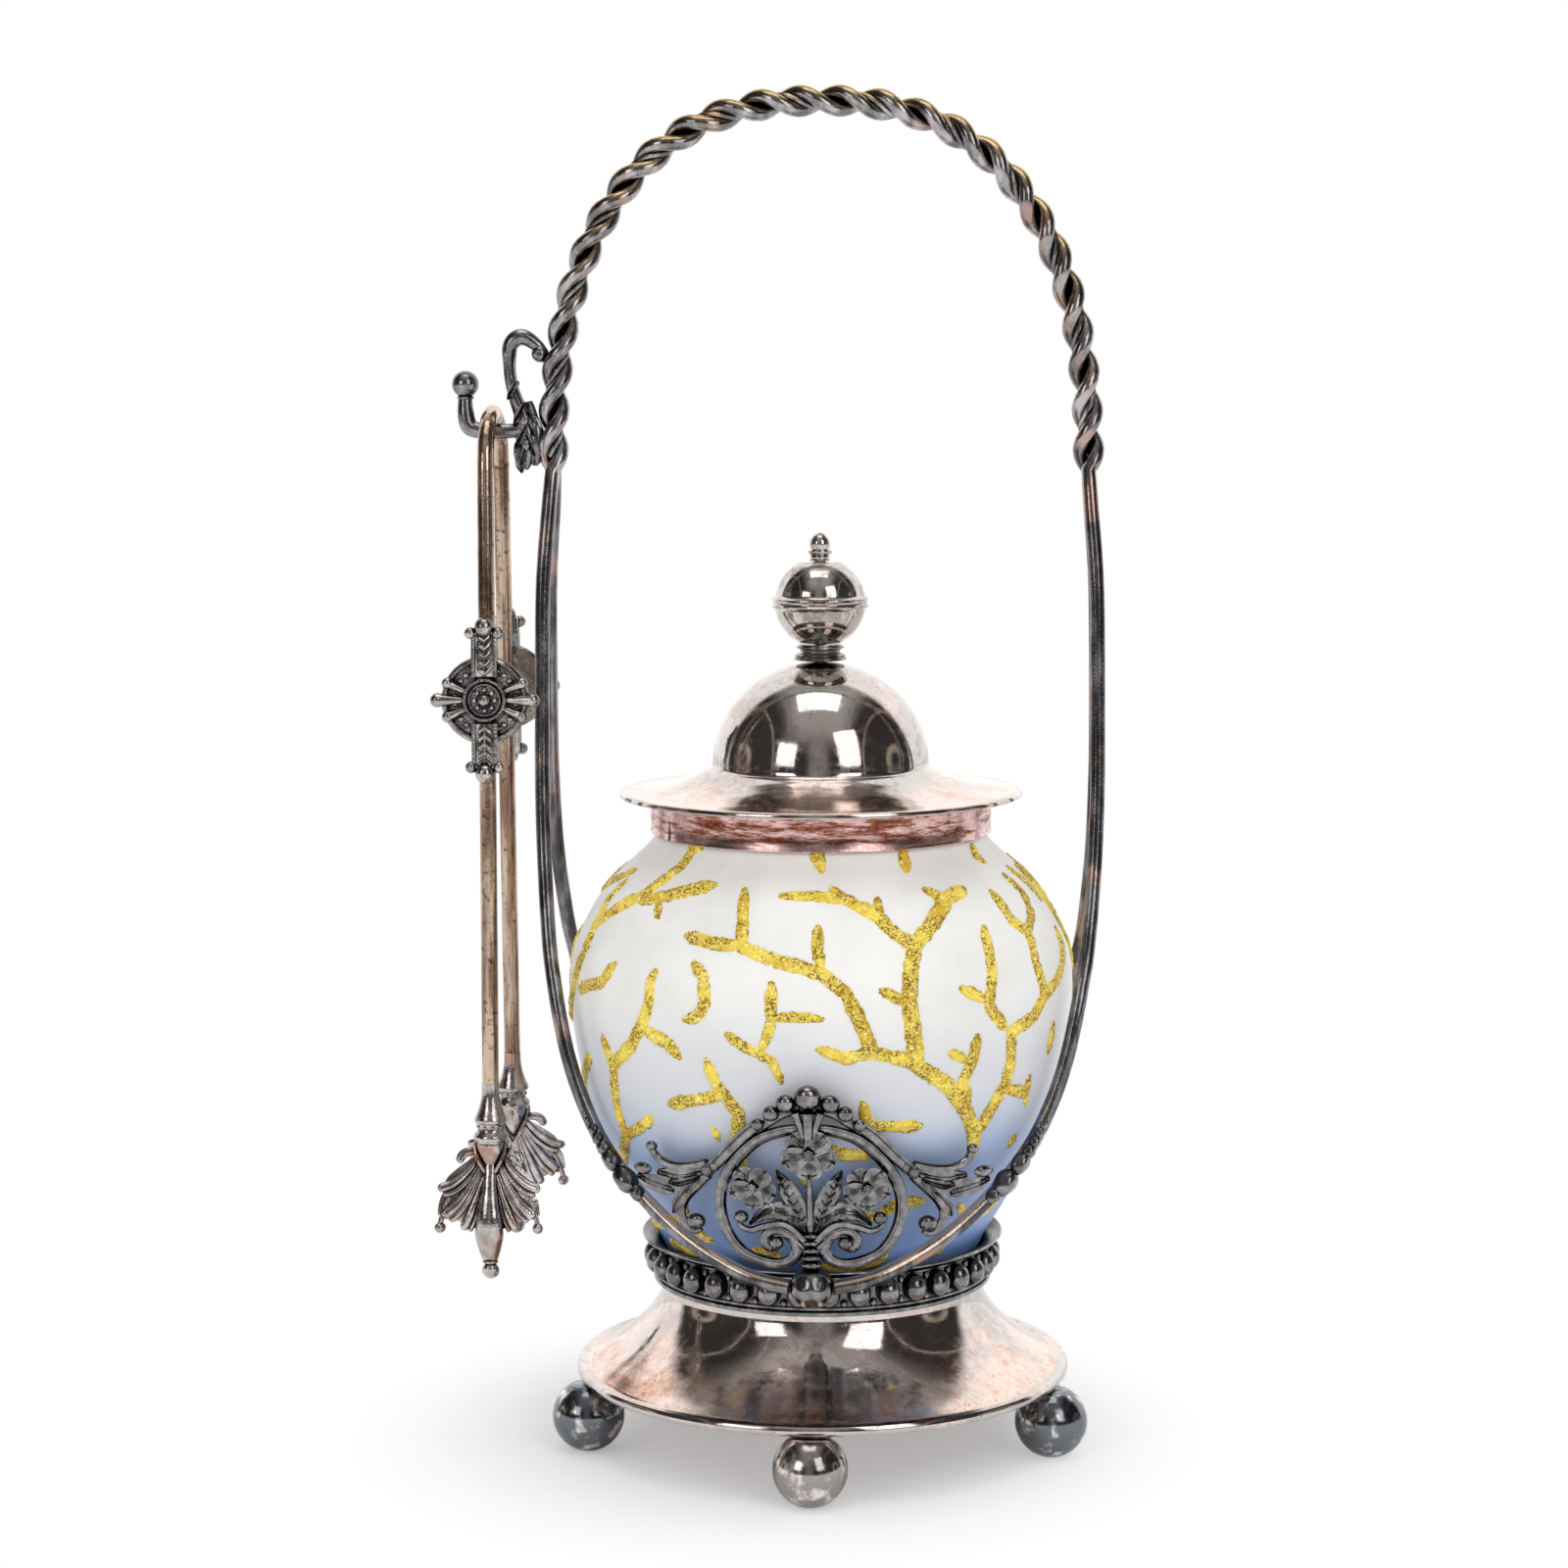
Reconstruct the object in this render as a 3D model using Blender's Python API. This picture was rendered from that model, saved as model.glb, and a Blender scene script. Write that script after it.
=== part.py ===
"""Pickle castor: a plated stand with a twisted bail, a glass jar with its lid, and hanging tongs.

Metres, +Z up. The floor is z = 0 and the front of the stand faces -Y.
"""

import math

import bmesh
import bpy
from mathutils import Matrix, Vector

# Clearances between pieces
SEAT_GAP = 0.0003
JAR_CLEARANCE = 0.0007
LID_CLEARANCE = 0.0006

# Facets round the turned pieces
ROUND_SIDES = 36
BALL_SIDES = 12
BALL_RINGS = 8
BEAD_SIDES = 6
BEAD_RINGS = 5
FINIAL_SIDES = 20
SMALL_SIDES = 12

# Ball feet
FOOT_COUNT = 5
FOOT_RADIUS = 0.0078
FOOT_PAD_RADIUS = 0.0018
FOOT_SEAT_RADIUS = 0.0040
FOOT_INSET = 0.0013

# Spun base
BASE_RADIUS = 0.0539
BASE_RISE = 0.0204
BASE_WALL = 0.0009
BASE_NECK_INSET = 0.0014
LIP_THICKNESS = 0.0022
LIP_WIDTH = 0.0034
LIP_ROUND = 0.0006
FLARE_SHARES = ((1.0, 0.0), (0.74, 0.15), (0.49, 0.32), (0.24, 0.56), (0.08, 0.78), (0.0, 1.0))

# Gallery that holds the jar
GALLERY_HEIGHT = 0.0104
GALLERY_WALL = 0.0009
GALLERY_FLANGE = 0.0008
GALLERY_FLANGE_HEIGHT = 0.0018
GALLERY_RIM_FLARE = 0.0031
GALLERY_RIM_HEIGHT = 0.0022
SHELF_WIDTH = 0.0048
BEAD_COUNT = 36
BEAD_STEP_COUNT = 2
BEAD_DEPTH = 0.0022
BEAD_WEB = 0.0005
BEAD_RISE_SHARES = (0.22, 0.5, 0.78)

# Glass jar
JAR_RADIUS = 0.0545
JAR_FOOT_RADIUS = 0.0300
JAR_NECK_RADIUS = 0.0352
JAR_HEIGHT = 0.1036
JAR_WALL = 0.0026
JAR_NECK_HEIGHT = 0.0072
JAR_BODY_SHARES = (
    (0.00, 0.000), (0.08, 0.013), (0.15, 0.043), (0.20, 0.070), (0.25, 0.096), (0.40, 0.158), (0.53, 0.220),
    (0.70, 0.306), (0.84, 0.399), (0.925, 0.483), (0.983, 0.577), (1.0, 0.645), (0.984, 0.710))
JAR_SHOULDER_SHARES = ((0.915, 0.758), (0.71, 0.839), (0.51, 0.892), (0.29, 0.934), (0.10, 0.970))

# Lid
LID_BRIM_OVERHANG = 0.0083
LID_BRIM_EDGE = 0.0010
LID_DOME_INSET = 0.0118
LID_DOME_HEIGHT = 0.0226
LID_DOME_BASE = 0.0063
LID_DOME_STEPS = 6
LID_INSIDE_STEPS = 4
LID_WALL = 0.0010
LID_BRIM_SHARES = ((0.72, 0.09), (0.42, 0.32), (0.17, 0.66))
COLLAR_HEIGHT = 0.0075
COLLAR_WALL = 0.0012

# Finial on the lid
STUD_RADIUS = 0.0012
STUD_CLEARANCE = 0.0003
NUT_RADIUS = 0.0030
NUT_HEIGHT = 0.0020
FINIAL_NECK_RADIUS = 0.0056
FINIAL_SEAT_RADIUS = 0.0045
FINIAL_NECK_HEIGHT = 0.00345
FINIAL_NECK_SHARES = (
    (1.0, 0.0), (1.0, 0.28), (0.86, 0.40), (0.77, 0.58), (0.80, 0.68), (0.91, 0.78), (0.91, 0.92), (0.81, 1.0))
FINIAL_BALL_RADIUS = 0.00975
FINIAL_BALL_STEPS = 3
FINIAL_BAND_RADIUS = 0.0105
FINIAL_BAND_HEIGHT = 0.0028
FINIAL_TIP_RADIUS = 0.0027
FINIAL_TIP_HEIGHT = 0.0061
FINIAL_TIP_SHARES = (
    (1.0, 0.0), (1.0, 0.14), (0.72, 0.22), (0.94, 0.32), (0.66, 0.44), (0.82, 0.62), (0.72, 0.84),
    (0.36, 0.98))

# Bail: two rods, spread round the jar and twisted together over the top
ROD_RADIUS = 0.00165
ROD_FACET_LEVEL = 1
BAIL_SIDE_CLEARANCE = 0.0049
BAIL_RISE = 0.0911
TWIST_RISE = 0.0779
TWIST_TURNS = 13
TWIST_TURN_POINTS = 8
ARCH_SQUARENESS = 2.4
ARCH_WAIST_SHARE = 0.965
LEG_POINTS = 19
LEG_SHARES = (
    (0.233, 0.012, 0.964), (0.438, 0.047, 0.839), (0.628, 0.101, 0.703), (0.761, 0.157, 0.600),
    (0.839, 0.211, 0.545), (0.886, 0.260, 0.520), (0.918, 0.308, 0.490), (0.944, 0.356, 0.440),
    (0.966, 0.404, 0.370), (0.990, 0.501, 0.255), (1.000, 0.601, 0.200), (1.000, 0.701, 0.165),
    (0.995, 0.851, 0.135), (0.975, 0.951, 0.095))

# Bosses where the rods meet, front and back
BOSS_RADIUS = 0.0045
BOSS_DROP = 0.0019

# Cast ornament over each boss
ORNAMENT_HALF_WIDTH = 0.0187
ORNAMENT_HEIGHT = 0.0300
ORNAMENT_RISE = 0.0056
ORNAMENT_STANDOFF = 0.0034
BAND_RADIUS = 0.0012
SCROLL_SHARES = (
    (0.38, 0.135), (0.49, 0.135), (0.48, 0.215), (0.33, 0.235), (0.19, 0.18), (0.15, 0.09), (0.25, 0.01),
    (0.45, -0.01), (0.75, 0.06), (0.93, 0.21), (1.0, 0.395), (0.96, 0.575), (0.80, 0.755), (0.55, 0.915),
    (0.25, 0.99))
SCROLL_BALL_RADIUS = 0.0014
CREST_BALL_RADIUS = 0.0027
CREST_RAIL_RADIUS = 0.0011
CREST_RAIL_DROP = 0.0006
CREST_SHARES = ((0.0, 1.235, 1.0), (0.24, 1.19, 0.77), (0.40, 1.115, 0.66), (0.55, 1.03, 0.52))
KEYSTONE_SHARES = ((0.0, 0.93, 0.55), (0.0, 1.17, 1.0))
FLOWER_PETALS = 5
PETAL_STEP_COUNT = 3
FLOWER_PETAL_SHARE = 0.2
FLOWER_THICKNESS = 0.0013
FLOWER_SHARES = ((0.0, 0.80, 0.285), (0.63, 0.545, 0.265), (-0.63, 0.545, 0.265))
STEM_RADIUS = 0.0006
SIDE_SCROLL_RADIUS = 0.0008
STEM_COLLAR_RADIUS = 0.0020
LEAF_RADIUS = 0.0019
LEAF_FLATNESS_SHARE = 0.55
LEAF_WIDTH_SHARES = (0.35, 1.0, 0.85, 0.2)
UPRIGHT_LEAF_SHARES = ((0.03, 0.24), (0.14, 0.42), (0.26, 0.58), (0.36, 0.69))
SIDE_LEAF_SHARES = ((0.05, 0.25), (0.24, 0.39), (0.44, 0.40), (0.64, 0.31))
SIDE_SCROLL_SHARES = ((0.04, 0.17), (0.26, 0.29), (0.66, 0.24), (0.78, 0.27), (0.76, 0.33))
WING_RADIUS = 0.0012
WING_ROD_SHARES = ((0.54, 1.02, 0.7), (1.05, 0.70, 0.9), (1.13, 0.65, 1.5), (1.25, 0.59, 1.1))
WING_LEAF_SHARES = (
    (1.21, 0.61, 1.2), (1.40, 0.54, 2.3), (1.60, 0.57, 1.7), (1.74, 0.67, 0.9), (1.70, 0.74, 0.5))
WING_TAIL_SHARES = ((1.48, 0.55, 1.5), (1.66, 0.50, 1.5), (1.80, 0.45, 1.2), (1.90, 0.42, 0.7))
WING_SCROLL_SHARES = (
    (1.19, 0.62, 1.1), (1.33, 0.49, 1.3), (1.41, 0.33, 1.0), (1.36, 0.22, 0.7), (1.27, 0.23, 0.6))
WING_BALL_RADIUS = 0.0017

# Hook bracket for the tongs, on the left of the bail
HOOK_BALL_RADIUS = 0.0029
HOOK_RADIUS = 0.0017
HOOK_ROOM = 0.0023
HOOK_DROP = 0.0040
HOOK_RISE = 0.0100
BRACKET_RADIUS = 0.0019
BRACKET_HEIGHT = 0.0275
BRACKET_PENDANT = 0.0078
BRACKET_BODY_SHARE = 0.62
BRACKET_SPINE_SHARES = (0.8, 0.8, 0.7, 0.7, 0.9, 1.0, 1.0, 0.4)

# Tongs
TONG_RADIUS = 0.0018
TONG_SIDE_CLEARANCE = 0.00925
TONG_HALF_GAP = 0.0122
TONG_LENGTH = 0.1884
TONG_SPLAY = math.radians(2.2)
HANG_RISE = 0.0103
BOW_POINTS = 13
FERRULE_RADIUS = 0.0036
FERRULE_HEIGHT = 0.0072
FERRULE_SHARES = ((0.62, 0.0), (1.0, 0.14), (1.0, 0.42), (0.74, 0.56), (0.90, 0.74), (0.66, 1.0))
CLAW_LENGTH = 0.0286
CLAW_HALF_WIDTH = 0.0108
CLAW_RADIUS = 0.0019
CLAW_KNOB_RADIUS = 0.0030
CLAW_ROOT_SHARE = 0.09
CLAW_CURL_SHARE = 0.10
CLAW_TIP_RADIUS = 0.0019
CLAW_BALL_RADIUS = 0.0012
CLAW_WIDTH_SHARES = (1.0, 1.25, 1.15, 0.9, 0.55)
CLAW_REACH_SHARES = ((0.0, 1.0), (0.50, 0.86), (-0.50, 0.86), (0.98, 0.62), (-0.98, 0.62))
MEDAL_DROP = 0.0482
MEDAL_RADIUS = 0.0094
MEDAL_THICKNESS = 0.0018
MEDAL_BAR_WIDTH = 0.0058
MEDAL_BAR_LENGTH = 0.0310
MEDAL_FAN_REACH = 0.0117
MEDAL_FAN_RADIUS = 0.0022
MEDAL_BALL_RADIUS = 0.0021
MEDAL_HUB_RADIUS = 0.0049


# Heights and radii that follow from the sizes above
def ball_flat_height(radius, flat_radius):
    """Height of a flat of the given radius above a ball's centre."""
    return math.sqrt(radius ** 2 - flat_radius ** 2)


FOOT_CENTRE = ball_flat_height(FOOT_RADIUS, FOOT_PAD_RADIUS)
FOOT_TOP = FOOT_CENTRE + ball_flat_height(FOOT_RADIUS, FOOT_SEAT_RADIUS)
BASE_BOTTOM = FOOT_TOP + SEAT_GAP
BASE_TOP = BASE_BOTTOM + BASE_RISE
GALLERY_BOTTOM = BASE_TOP + SEAT_GAP
GALLERY_TOP = GALLERY_BOTTOM + GALLERY_HEIGHT
JAR_BOTTOM = GALLERY_BOTTOM + GALLERY_FLANGE_HEIGHT + SEAT_GAP
JAR_BODY_HEIGHT = JAR_HEIGHT - JAR_NECK_HEIGHT
JAR_TOP = JAR_BOTTOM + JAR_HEIGHT
LID_BOTTOM = JAR_TOP + SEAT_GAP
LID_TOP = LID_BOTTOM + LID_DOME_BASE + LID_DOME_HEIGHT
LID_BRIM_RADIUS = JAR_NECK_RADIUS + LID_BRIM_OVERHANG
LID_DOME_RADIUS = JAR_NECK_RADIUS - LID_DOME_INSET
FINIAL_BALL_BOTTOM = LID_TOP + SEAT_GAP + FINIAL_NECK_HEIGHT + SEAT_GAP
FINIAL_BORE = STUD_RADIUS + STUD_CLEARANCE


def jar_outline():
    """Outer outline of the glass, from its foot up to the rim, as radius and height."""
    points = []
    for swell, rise in JAR_BODY_SHARES:
        radius = JAR_FOOT_RADIUS + (JAR_RADIUS - JAR_FOOT_RADIUS) * swell
        points.append((radius, JAR_BOTTOM + JAR_BODY_HEIGHT * rise))
    for swell, rise in JAR_SHOULDER_SHARES:
        radius = JAR_NECK_RADIUS + (JAR_RADIUS - JAR_NECK_RADIUS) * swell
        points.append((radius, JAR_BOTTOM + JAR_BODY_HEIGHT * rise))
    points.append((JAR_NECK_RADIUS, JAR_BOTTOM + JAR_BODY_HEIGHT))
    points.append((JAR_NECK_RADIUS, JAR_TOP))
    return points


def jar_radius_at(height):
    """Outer radius of the glass at a height, read off its outline."""
    outline = jar_outline()
    for (low_radius, low), (high_radius, high) in zip(outline, outline[1:]):
        if low <= height <= high:
            return low_radius + (high_radius - low_radius) * (height - low) / (high - low)
    return JAR_FOOT_RADIUS if height < JAR_BOTTOM else JAR_NECK_RADIUS


GALLERY_SHOULDER = GALLERY_TOP - GALLERY_RIM_HEIGHT
GALLERY_BORE = jar_radius_at(GALLERY_SHOULDER) + JAR_CLEARANCE
GALLERY_RADIUS = GALLERY_BORE + GALLERY_WALL
GALLERY_RIM_RADIUS = GALLERY_RADIUS + GALLERY_RIM_FLARE
BASE_NECK_RADIUS = GALLERY_RADIUS - BASE_NECK_INSET
FINIAL_BALL_HALF = ball_flat_height(FINIAL_BALL_RADIUS, FINIAL_SEAT_RADIUS)
FINIAL_TIP_BOTTOM = FINIAL_BALL_BOTTOM + FINIAL_BALL_HALF * 2 + SEAT_GAP
FINIAL_TOP = FINIAL_TIP_BOTTOM + FINIAL_TIP_HEIGHT
BAIL_TOP = FINIAL_TOP + BAIL_RISE
BAIL_HALF_WIDTH = JAR_RADIUS + BAIL_SIDE_CLEARANCE
TWIST_HALF_WIDTH = BAIL_HALF_WIDTH * ARCH_WAIST_SHARE
TWIST_RADIUS = ROD_RADIUS + SEAT_GAP / 2
TWIST_BOTTOM = BAIL_TOP - TWIST_RISE
BOSS_HEIGHT = GALLERY_TOP - BOSS_DROP
BOSS_REACH = GALLERY_RIM_RADIUS + BOSS_RADIUS + SEAT_GAP
ORNAMENT_BOTTOM = BOSS_HEIGHT + ORNAMENT_RISE
ORNAMENT_TOP_REACH = jar_radius_at(ORNAMENT_BOTTOM + ORNAMENT_HEIGHT) + ORNAMENT_STANDOFF
TONG_REACH = BAIL_HALF_WIDTH + ROD_RADIUS + TONG_SIDE_CLEARANCE
SADDLE_TOP = TWIST_BOTTOM + HANG_RISE
TONG_TOP = SADDLE_TOP + SEAT_GAP + TONG_RADIUS * 2
BOW_HEIGHT = TONG_TOP - TONG_RADIUS - TONG_HALF_GAP
ARM_LENGTH = TONG_LENGTH - TONG_RADIUS - TONG_HALF_GAP - CLAW_LENGTH - FERRULE_HEIGHT - 2 * SEAT_GAP
LEFT_REACH = TONG_REACH + MEDAL_FAN_REACH
AXIS_X = (LEFT_REACH - BAIL_HALF_WIDTH - ROD_RADIUS) / 2


# Building blocks
def clear_scene():
    """Empty the file of objects."""
    for thing in list(bpy.data.objects):
        bpy.data.objects.remove(thing, do_unlink=True)


def finish(name, color, metallic, roughness):
    """A plain surface with a colour, a metal share and a roughness."""
    material = bpy.data.materials.new(name)
    material.use_nodes = True
    shader = material.node_tree.nodes["Principled BSDF"]
    shader.inputs["Base Color"].default_value = (*color, 1.0)
    shader.inputs["Metallic"].default_value = metallic
    shader.inputs["Roughness"].default_value = roughness
    return material


def place(name, mesh, material, parent, spin=0.0):
    """One piece in the scene, turned about its parent's vertical axis."""
    piece = bpy.data.objects.new(name, mesh)
    bpy.context.scene.collection.objects.link(piece)
    piece.parent = parent
    piece.rotation_euler = (0.0, 0.0, spin)
    if not mesh.materials:
        mesh.materials.append(material)
    return piece


def smooth_mesh(name, shape, crease=math.radians(35)):
    """Close a shape's normals and make a smooth-shaded mesh of it."""
    bmesh.ops.recalc_face_normals(shape, faces=shape.faces)
    mesh = bpy.data.meshes.new(name)
    shape.to_mesh(mesh)
    shape.free()
    mesh.shade_smooth()
    mesh.set_sharp_from_angle(angle=crease)
    return mesh


def turned(name, outline, sides=ROUND_SIDES):
    """Spin a closed outline of radius and height points about Z."""
    shape = bmesh.new()
    ring = [shape.verts.new((radius, 0.0, height)) for radius, height in outline]
    edges = [shape.edges.new((first, second)) for first, second in zip(ring, ring[1:])]
    if outline[0][0] > 0.0 or outline[-1][0] > 0.0:
        edges.append(shape.edges.new((ring[-1], ring[0])))
    bmesh.ops.spin(shape, geom=ring + edges, cent=(0.0, 0.0, 0.0), axis=(0.0, 0.0, 1.0), angle=math.tau,
                   steps=sides, use_merge=True)
    bmesh.ops.remove_doubles(shape, verts=shape.verts, dist=SEAT_GAP / 100)
    return smooth_mesh(name, shape)


def tube(points, radius, width_shares=None, level=1):
    """A capped tube along points, as an open-ended bmesh whose radius follows the width shares."""
    curve = bpy.data.curves.new("guide", "CURVE")
    curve.dimensions = "3D"
    curve.bevel_depth = radius
    curve.bevel_resolution = level
    curve.use_fill_caps = True
    spline = curve.splines.new("POLY")
    spline.points.add(len(points) - 1)
    for index, (spot, point) in enumerate(zip(spline.points, points)):
        spot.co = (*point, 1.0)
        spot.radius = width_shares[index] if width_shares else 1.0
    holder = bpy.data.objects.new("guide", curve)
    bpy.context.scene.collection.objects.link(holder)
    mesh = bpy.data.meshes.new_from_object(holder)
    shape = bmesh.new()
    shape.from_mesh(mesh)
    bmesh.ops.remove_doubles(shape, verts=shape.verts, dist=SEAT_GAP / 100)
    bpy.data.objects.remove(holder, do_unlink=True)
    bpy.data.curves.remove(curve)
    bpy.data.meshes.remove(mesh)
    bmesh.ops.recalc_face_normals(shape, faces=shape.faces)
    return shape


def ball(centre, radius, sides=BEAD_SIDES, rings=BEAD_RINGS):
    """A small ball at a point."""
    shape = bmesh.new()
    bmesh.ops.create_uvsphere(shape, u_segments=sides, v_segments=rings, radius=radius,
                              matrix=Matrix.Translation(centre))
    return shape


def smooth_route(points, count):
    """Even samples of a smooth curve through the points."""
    route = []
    spans = len(points) - 1
    for step in range(count + 1):
        place_on = min(step * spans / count, spans - 1e-9)
        span = int(place_on)
        share = place_on - span
        before = points[max(span - 1, 0)]
        start, end = points[span], points[span + 1]
        after = points[min(span + 2, spans)]
        route.append(0.5 * ((2 * start) + (end - before) * share
                            + (2 * before - 5 * start + 4 * end - after) * share ** 2
                            + (3 * start - before - 3 * end + after) * share ** 3))
    return route


def fused(name, shapes, material, parent, spin=0.0):
    """One solid of several overlapping shapes, joined by a union."""
    group = bpy.data.collections.new(name + "_parts")
    for index, shape in enumerate(shapes[1:]):
        part = bpy.data.objects.new(f"{name}_part_{index}", smooth_mesh(f"{name}_part_{index}", shape))
        part.hide_render = True
        part.display_type = "WIRE"
        part.parent = parent
        part.rotation_euler = (0.0, 0.0, spin)
        group.objects.link(part)
    bpy.context.scene.collection.children.link(group)
    piece = place(name, smooth_mesh(name, shapes[0]), material, parent, spin)
    union = piece.modifiers.new("union", "BOOLEAN")
    union.operation = "UNION"
    union.solver = "EXACT"
    union.use_self = True
    union.operand_type = "COLLECTION"
    union.collection = group
    return piece


# Pieces of the stand
def foot_mesh():
    """A ball with a flat to stand on and a flat seat under the lip."""
    shape = ball((0.0, 0.0, FOOT_CENTRE), FOOT_RADIUS, BALL_SIDES, BALL_RINGS)
    for height, normal in ((FOOT_TOP, 1.0), (0.0, -1.0)):
        everything = shape.verts[:] + shape.edges[:] + shape.faces[:]
        cut = bmesh.ops.bisect_plane(shape, geom=everything, plane_co=(0.0, 0.0, height),
                                     plane_no=(0.0, 0.0, normal), clear_outer=True)
        rim = [item for item in cut["geom_cut"] if isinstance(item, bmesh.types.BMEdge)]
        bmesh.ops.contextual_create(shape, geom=rim)
    return smooth_mesh("foot", shape)


def add_feet(stand, material):
    """Ball feet under the lip, the first at the front."""
    mesh = foot_mesh()
    reach = BASE_RADIUS - FOOT_INSET
    for index in range(FOOT_COUNT):
        turn = math.tau * index / FOOT_COUNT - math.pi / 2
        foot = place(f"ball_foot_{index + 1}", mesh, material, stand)
        foot.location = (reach * math.cos(turn), reach * math.sin(turn), 0.0)


def add_base(stand, material):
    """Spun base: a flared shell with a rolled lip and a closed top."""
    flare_foot = BASE_RADIUS - LIP_THICKNESS
    flare_start = BASE_BOTTOM + LIP_THICKNESS
    flare = []
    for out, up in FLARE_SHARES:
        flare.append((BASE_NECK_RADIUS + (flare_foot - BASE_NECK_RADIUS) * out,
                      flare_start + (BASE_TOP - flare_start) * up))
    outline = [(0.0, BASE_TOP)] + flare[::-1]
    outline += [(BASE_RADIUS - LIP_ROUND, BASE_BOTTOM + LIP_THICKNESS - LIP_ROUND),
                (BASE_RADIUS, BASE_BOTTOM + LIP_THICKNESS / 2),
                (BASE_RADIUS - LIP_ROUND, BASE_BOTTOM),
                (BASE_RADIUS - LIP_WIDTH, BASE_BOTTOM)]
    outline += [(out - BASE_WALL, up - BASE_WALL) for out, up in flare[1:]]
    outline += [(0.0, BASE_TOP - BASE_WALL)]
    place("base_shell", turned("base_shell", outline), material, stand)


def add_gallery(stand, material):
    """Gallery: a cup-like ring with a shelf for the jar, and a strip of oval beads round it."""
    floor = GALLERY_BOTTOM
    shelf = floor + GALLERY_FLANGE_HEIGHT
    rim = GALLERY_RIM_RADIUS
    flange = GALLERY_RADIUS + GALLERY_FLANGE
    outline = [
        (GALLERY_BORE - SHELF_WIDTH, shelf), (GALLERY_BORE - SHELF_WIDTH, floor), (flange - SEAT_GAP, floor),
        (flange, floor + GALLERY_FLANGE_HEIGHT / 2), (GALLERY_RADIUS, shelf),
        (GALLERY_RADIUS, GALLERY_SHOULDER), (rim, GALLERY_TOP - GALLERY_WALL), (rim, GALLERY_TOP),
        (rim - GALLERY_WALL, GALLERY_TOP), (GALLERY_BORE, GALLERY_SHOULDER), (GALLERY_BORE, shelf)]
    place("gallery_ring", turned("gallery_ring", outline), material, stand)

    low = shelf + SEAT_GAP
    high = GALLERY_SHOULDER - SEAT_GAP
    inside = GALLERY_RADIUS + SEAT_GAP
    web = inside + BEAD_WEB
    strip = [(inside, low), (web, low)]
    strip += [(web, low + (high - low) * rise) for rise in BEAD_RISE_SHARES]
    strip += [(web, high), (inside, high)]
    mesh = turned("gallery_beads", strip, BEAD_COUNT * BEAD_STEP_COUNT)
    for vert in mesh.vertices:
        out = math.hypot(vert.co.x, vert.co.y)
        rise = (vert.co.z - low) / (high - low)
        if out > inside + BEAD_WEB / 2 and 0.01 < rise < 0.99:
            turn = math.atan2(vert.co.y, vert.co.x)
            swell = math.sin(math.pi * rise) * abs(math.sin(turn * BEAD_COUNT / 2))
            vert.co.xy *= 1.0 + BEAD_DEPTH * swell / out
    place("gallery_beads", mesh, material, stand)


def leg_route():
    """One leg of the front rod on the right, from its boss up to the twist."""
    points = [Vector((BOSS_RADIUS + SEAT_GAP, -BOSS_REACH, BOSS_HEIGHT))]
    for wide, rise, deep in LEG_SHARES:
        points.append(Vector((BAIL_HALF_WIDTH * wide, -BOSS_REACH * deep,
                              BOSS_HEIGHT + (TWIST_BOTTOM - BOSS_HEIGHT) * rise)))
    points.append(Vector((TWIST_HALF_WIDTH, -TWIST_RADIUS, TWIST_BOTTOM)))
    return smooth_route(points, LEG_POINTS)


def arch_route(count):
    """Even points of the arch over the top, from left to right, with their distances."""
    fine = []
    for step in range(count * 8 + 1):
        turn = math.pi * step / (count * 8)
        across = -math.copysign(abs(math.cos(turn)) ** (2 / ARCH_SQUARENESS), math.cos(turn))
        up = abs(math.sin(turn)) ** (2 / ARCH_SQUARENESS)
        fine.append(Vector((TWIST_HALF_WIDTH * across, 0.0, TWIST_BOTTOM + TWIST_RISE * up)))
    lengths = [0.0]
    for first, second in zip(fine, fine[1:]):
        lengths.append(lengths[-1] + (second - first).length)
    even = []
    index = 0
    for step in range(count + 1):
        wanted = lengths[-1] * step / count
        while index < len(fine) - 2 and lengths[index + 1] < wanted:
            index += 1
        share = (wanted - lengths[index]) / (lengths[index + 1] - lengths[index])
        even.append(fine[index].lerp(fine[index + 1], share))
    return even


def rod_mesh():
    """The front rod: up the left leg, twisted over the arch, and down the right leg."""
    leg = leg_route()
    count = TWIST_TURNS * TWIST_TURN_POINTS
    arch = arch_route(count)
    left = [Vector((-point.x, point.y, point.z)) for point in leg]
    route = left[:-1]
    for index, point in enumerate(arch):
        ahead = arch[min(index + 1, count)] - arch[max(index - 1, 0)]
        outward = Vector((-ahead.z, 0.0, ahead.x)).normalized()
        turn = -math.tau * TWIST_TURNS * index / count - math.pi / 2
        around = math.cos(turn) * outward + math.sin(turn) * Vector((0.0, 1.0, 0.0))
        route.append(point + TWIST_RADIUS * around)
    route += leg[::-1][1:]
    return smooth_mesh("bail_rod", tube(route, ROD_RADIUS, level=ROD_FACET_LEVEL))


def add_bail(stand, material):
    """Front and back rods, which are the same rod turned half way round."""
    mesh = rod_mesh()
    place("bail_rod_front", mesh, material, stand)
    place("bail_rod_back", mesh, material, stand, math.pi)


def add_bosses(stand, material):
    """Ball bosses that take the rods' ends."""
    mesh = smooth_mesh("boss", ball((0.0, -BOSS_REACH, BOSS_HEIGHT), BOSS_RADIUS, BALL_SIDES, BALL_RINGS))
    place("boss_front", mesh, material, stand)
    place("boss_back", mesh, material, stand, math.pi)


# Cast ornament, drawn flat as shares of its size and bent round the jar
def ornament_spot(wide, high):
    """A flat point of the ornament from its width and height shares."""
    return Vector((ORNAMENT_HALF_WIDTH * wide, 0.0, ORNAMENT_BOTTOM + ORNAMENT_HEIGHT * high))


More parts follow.
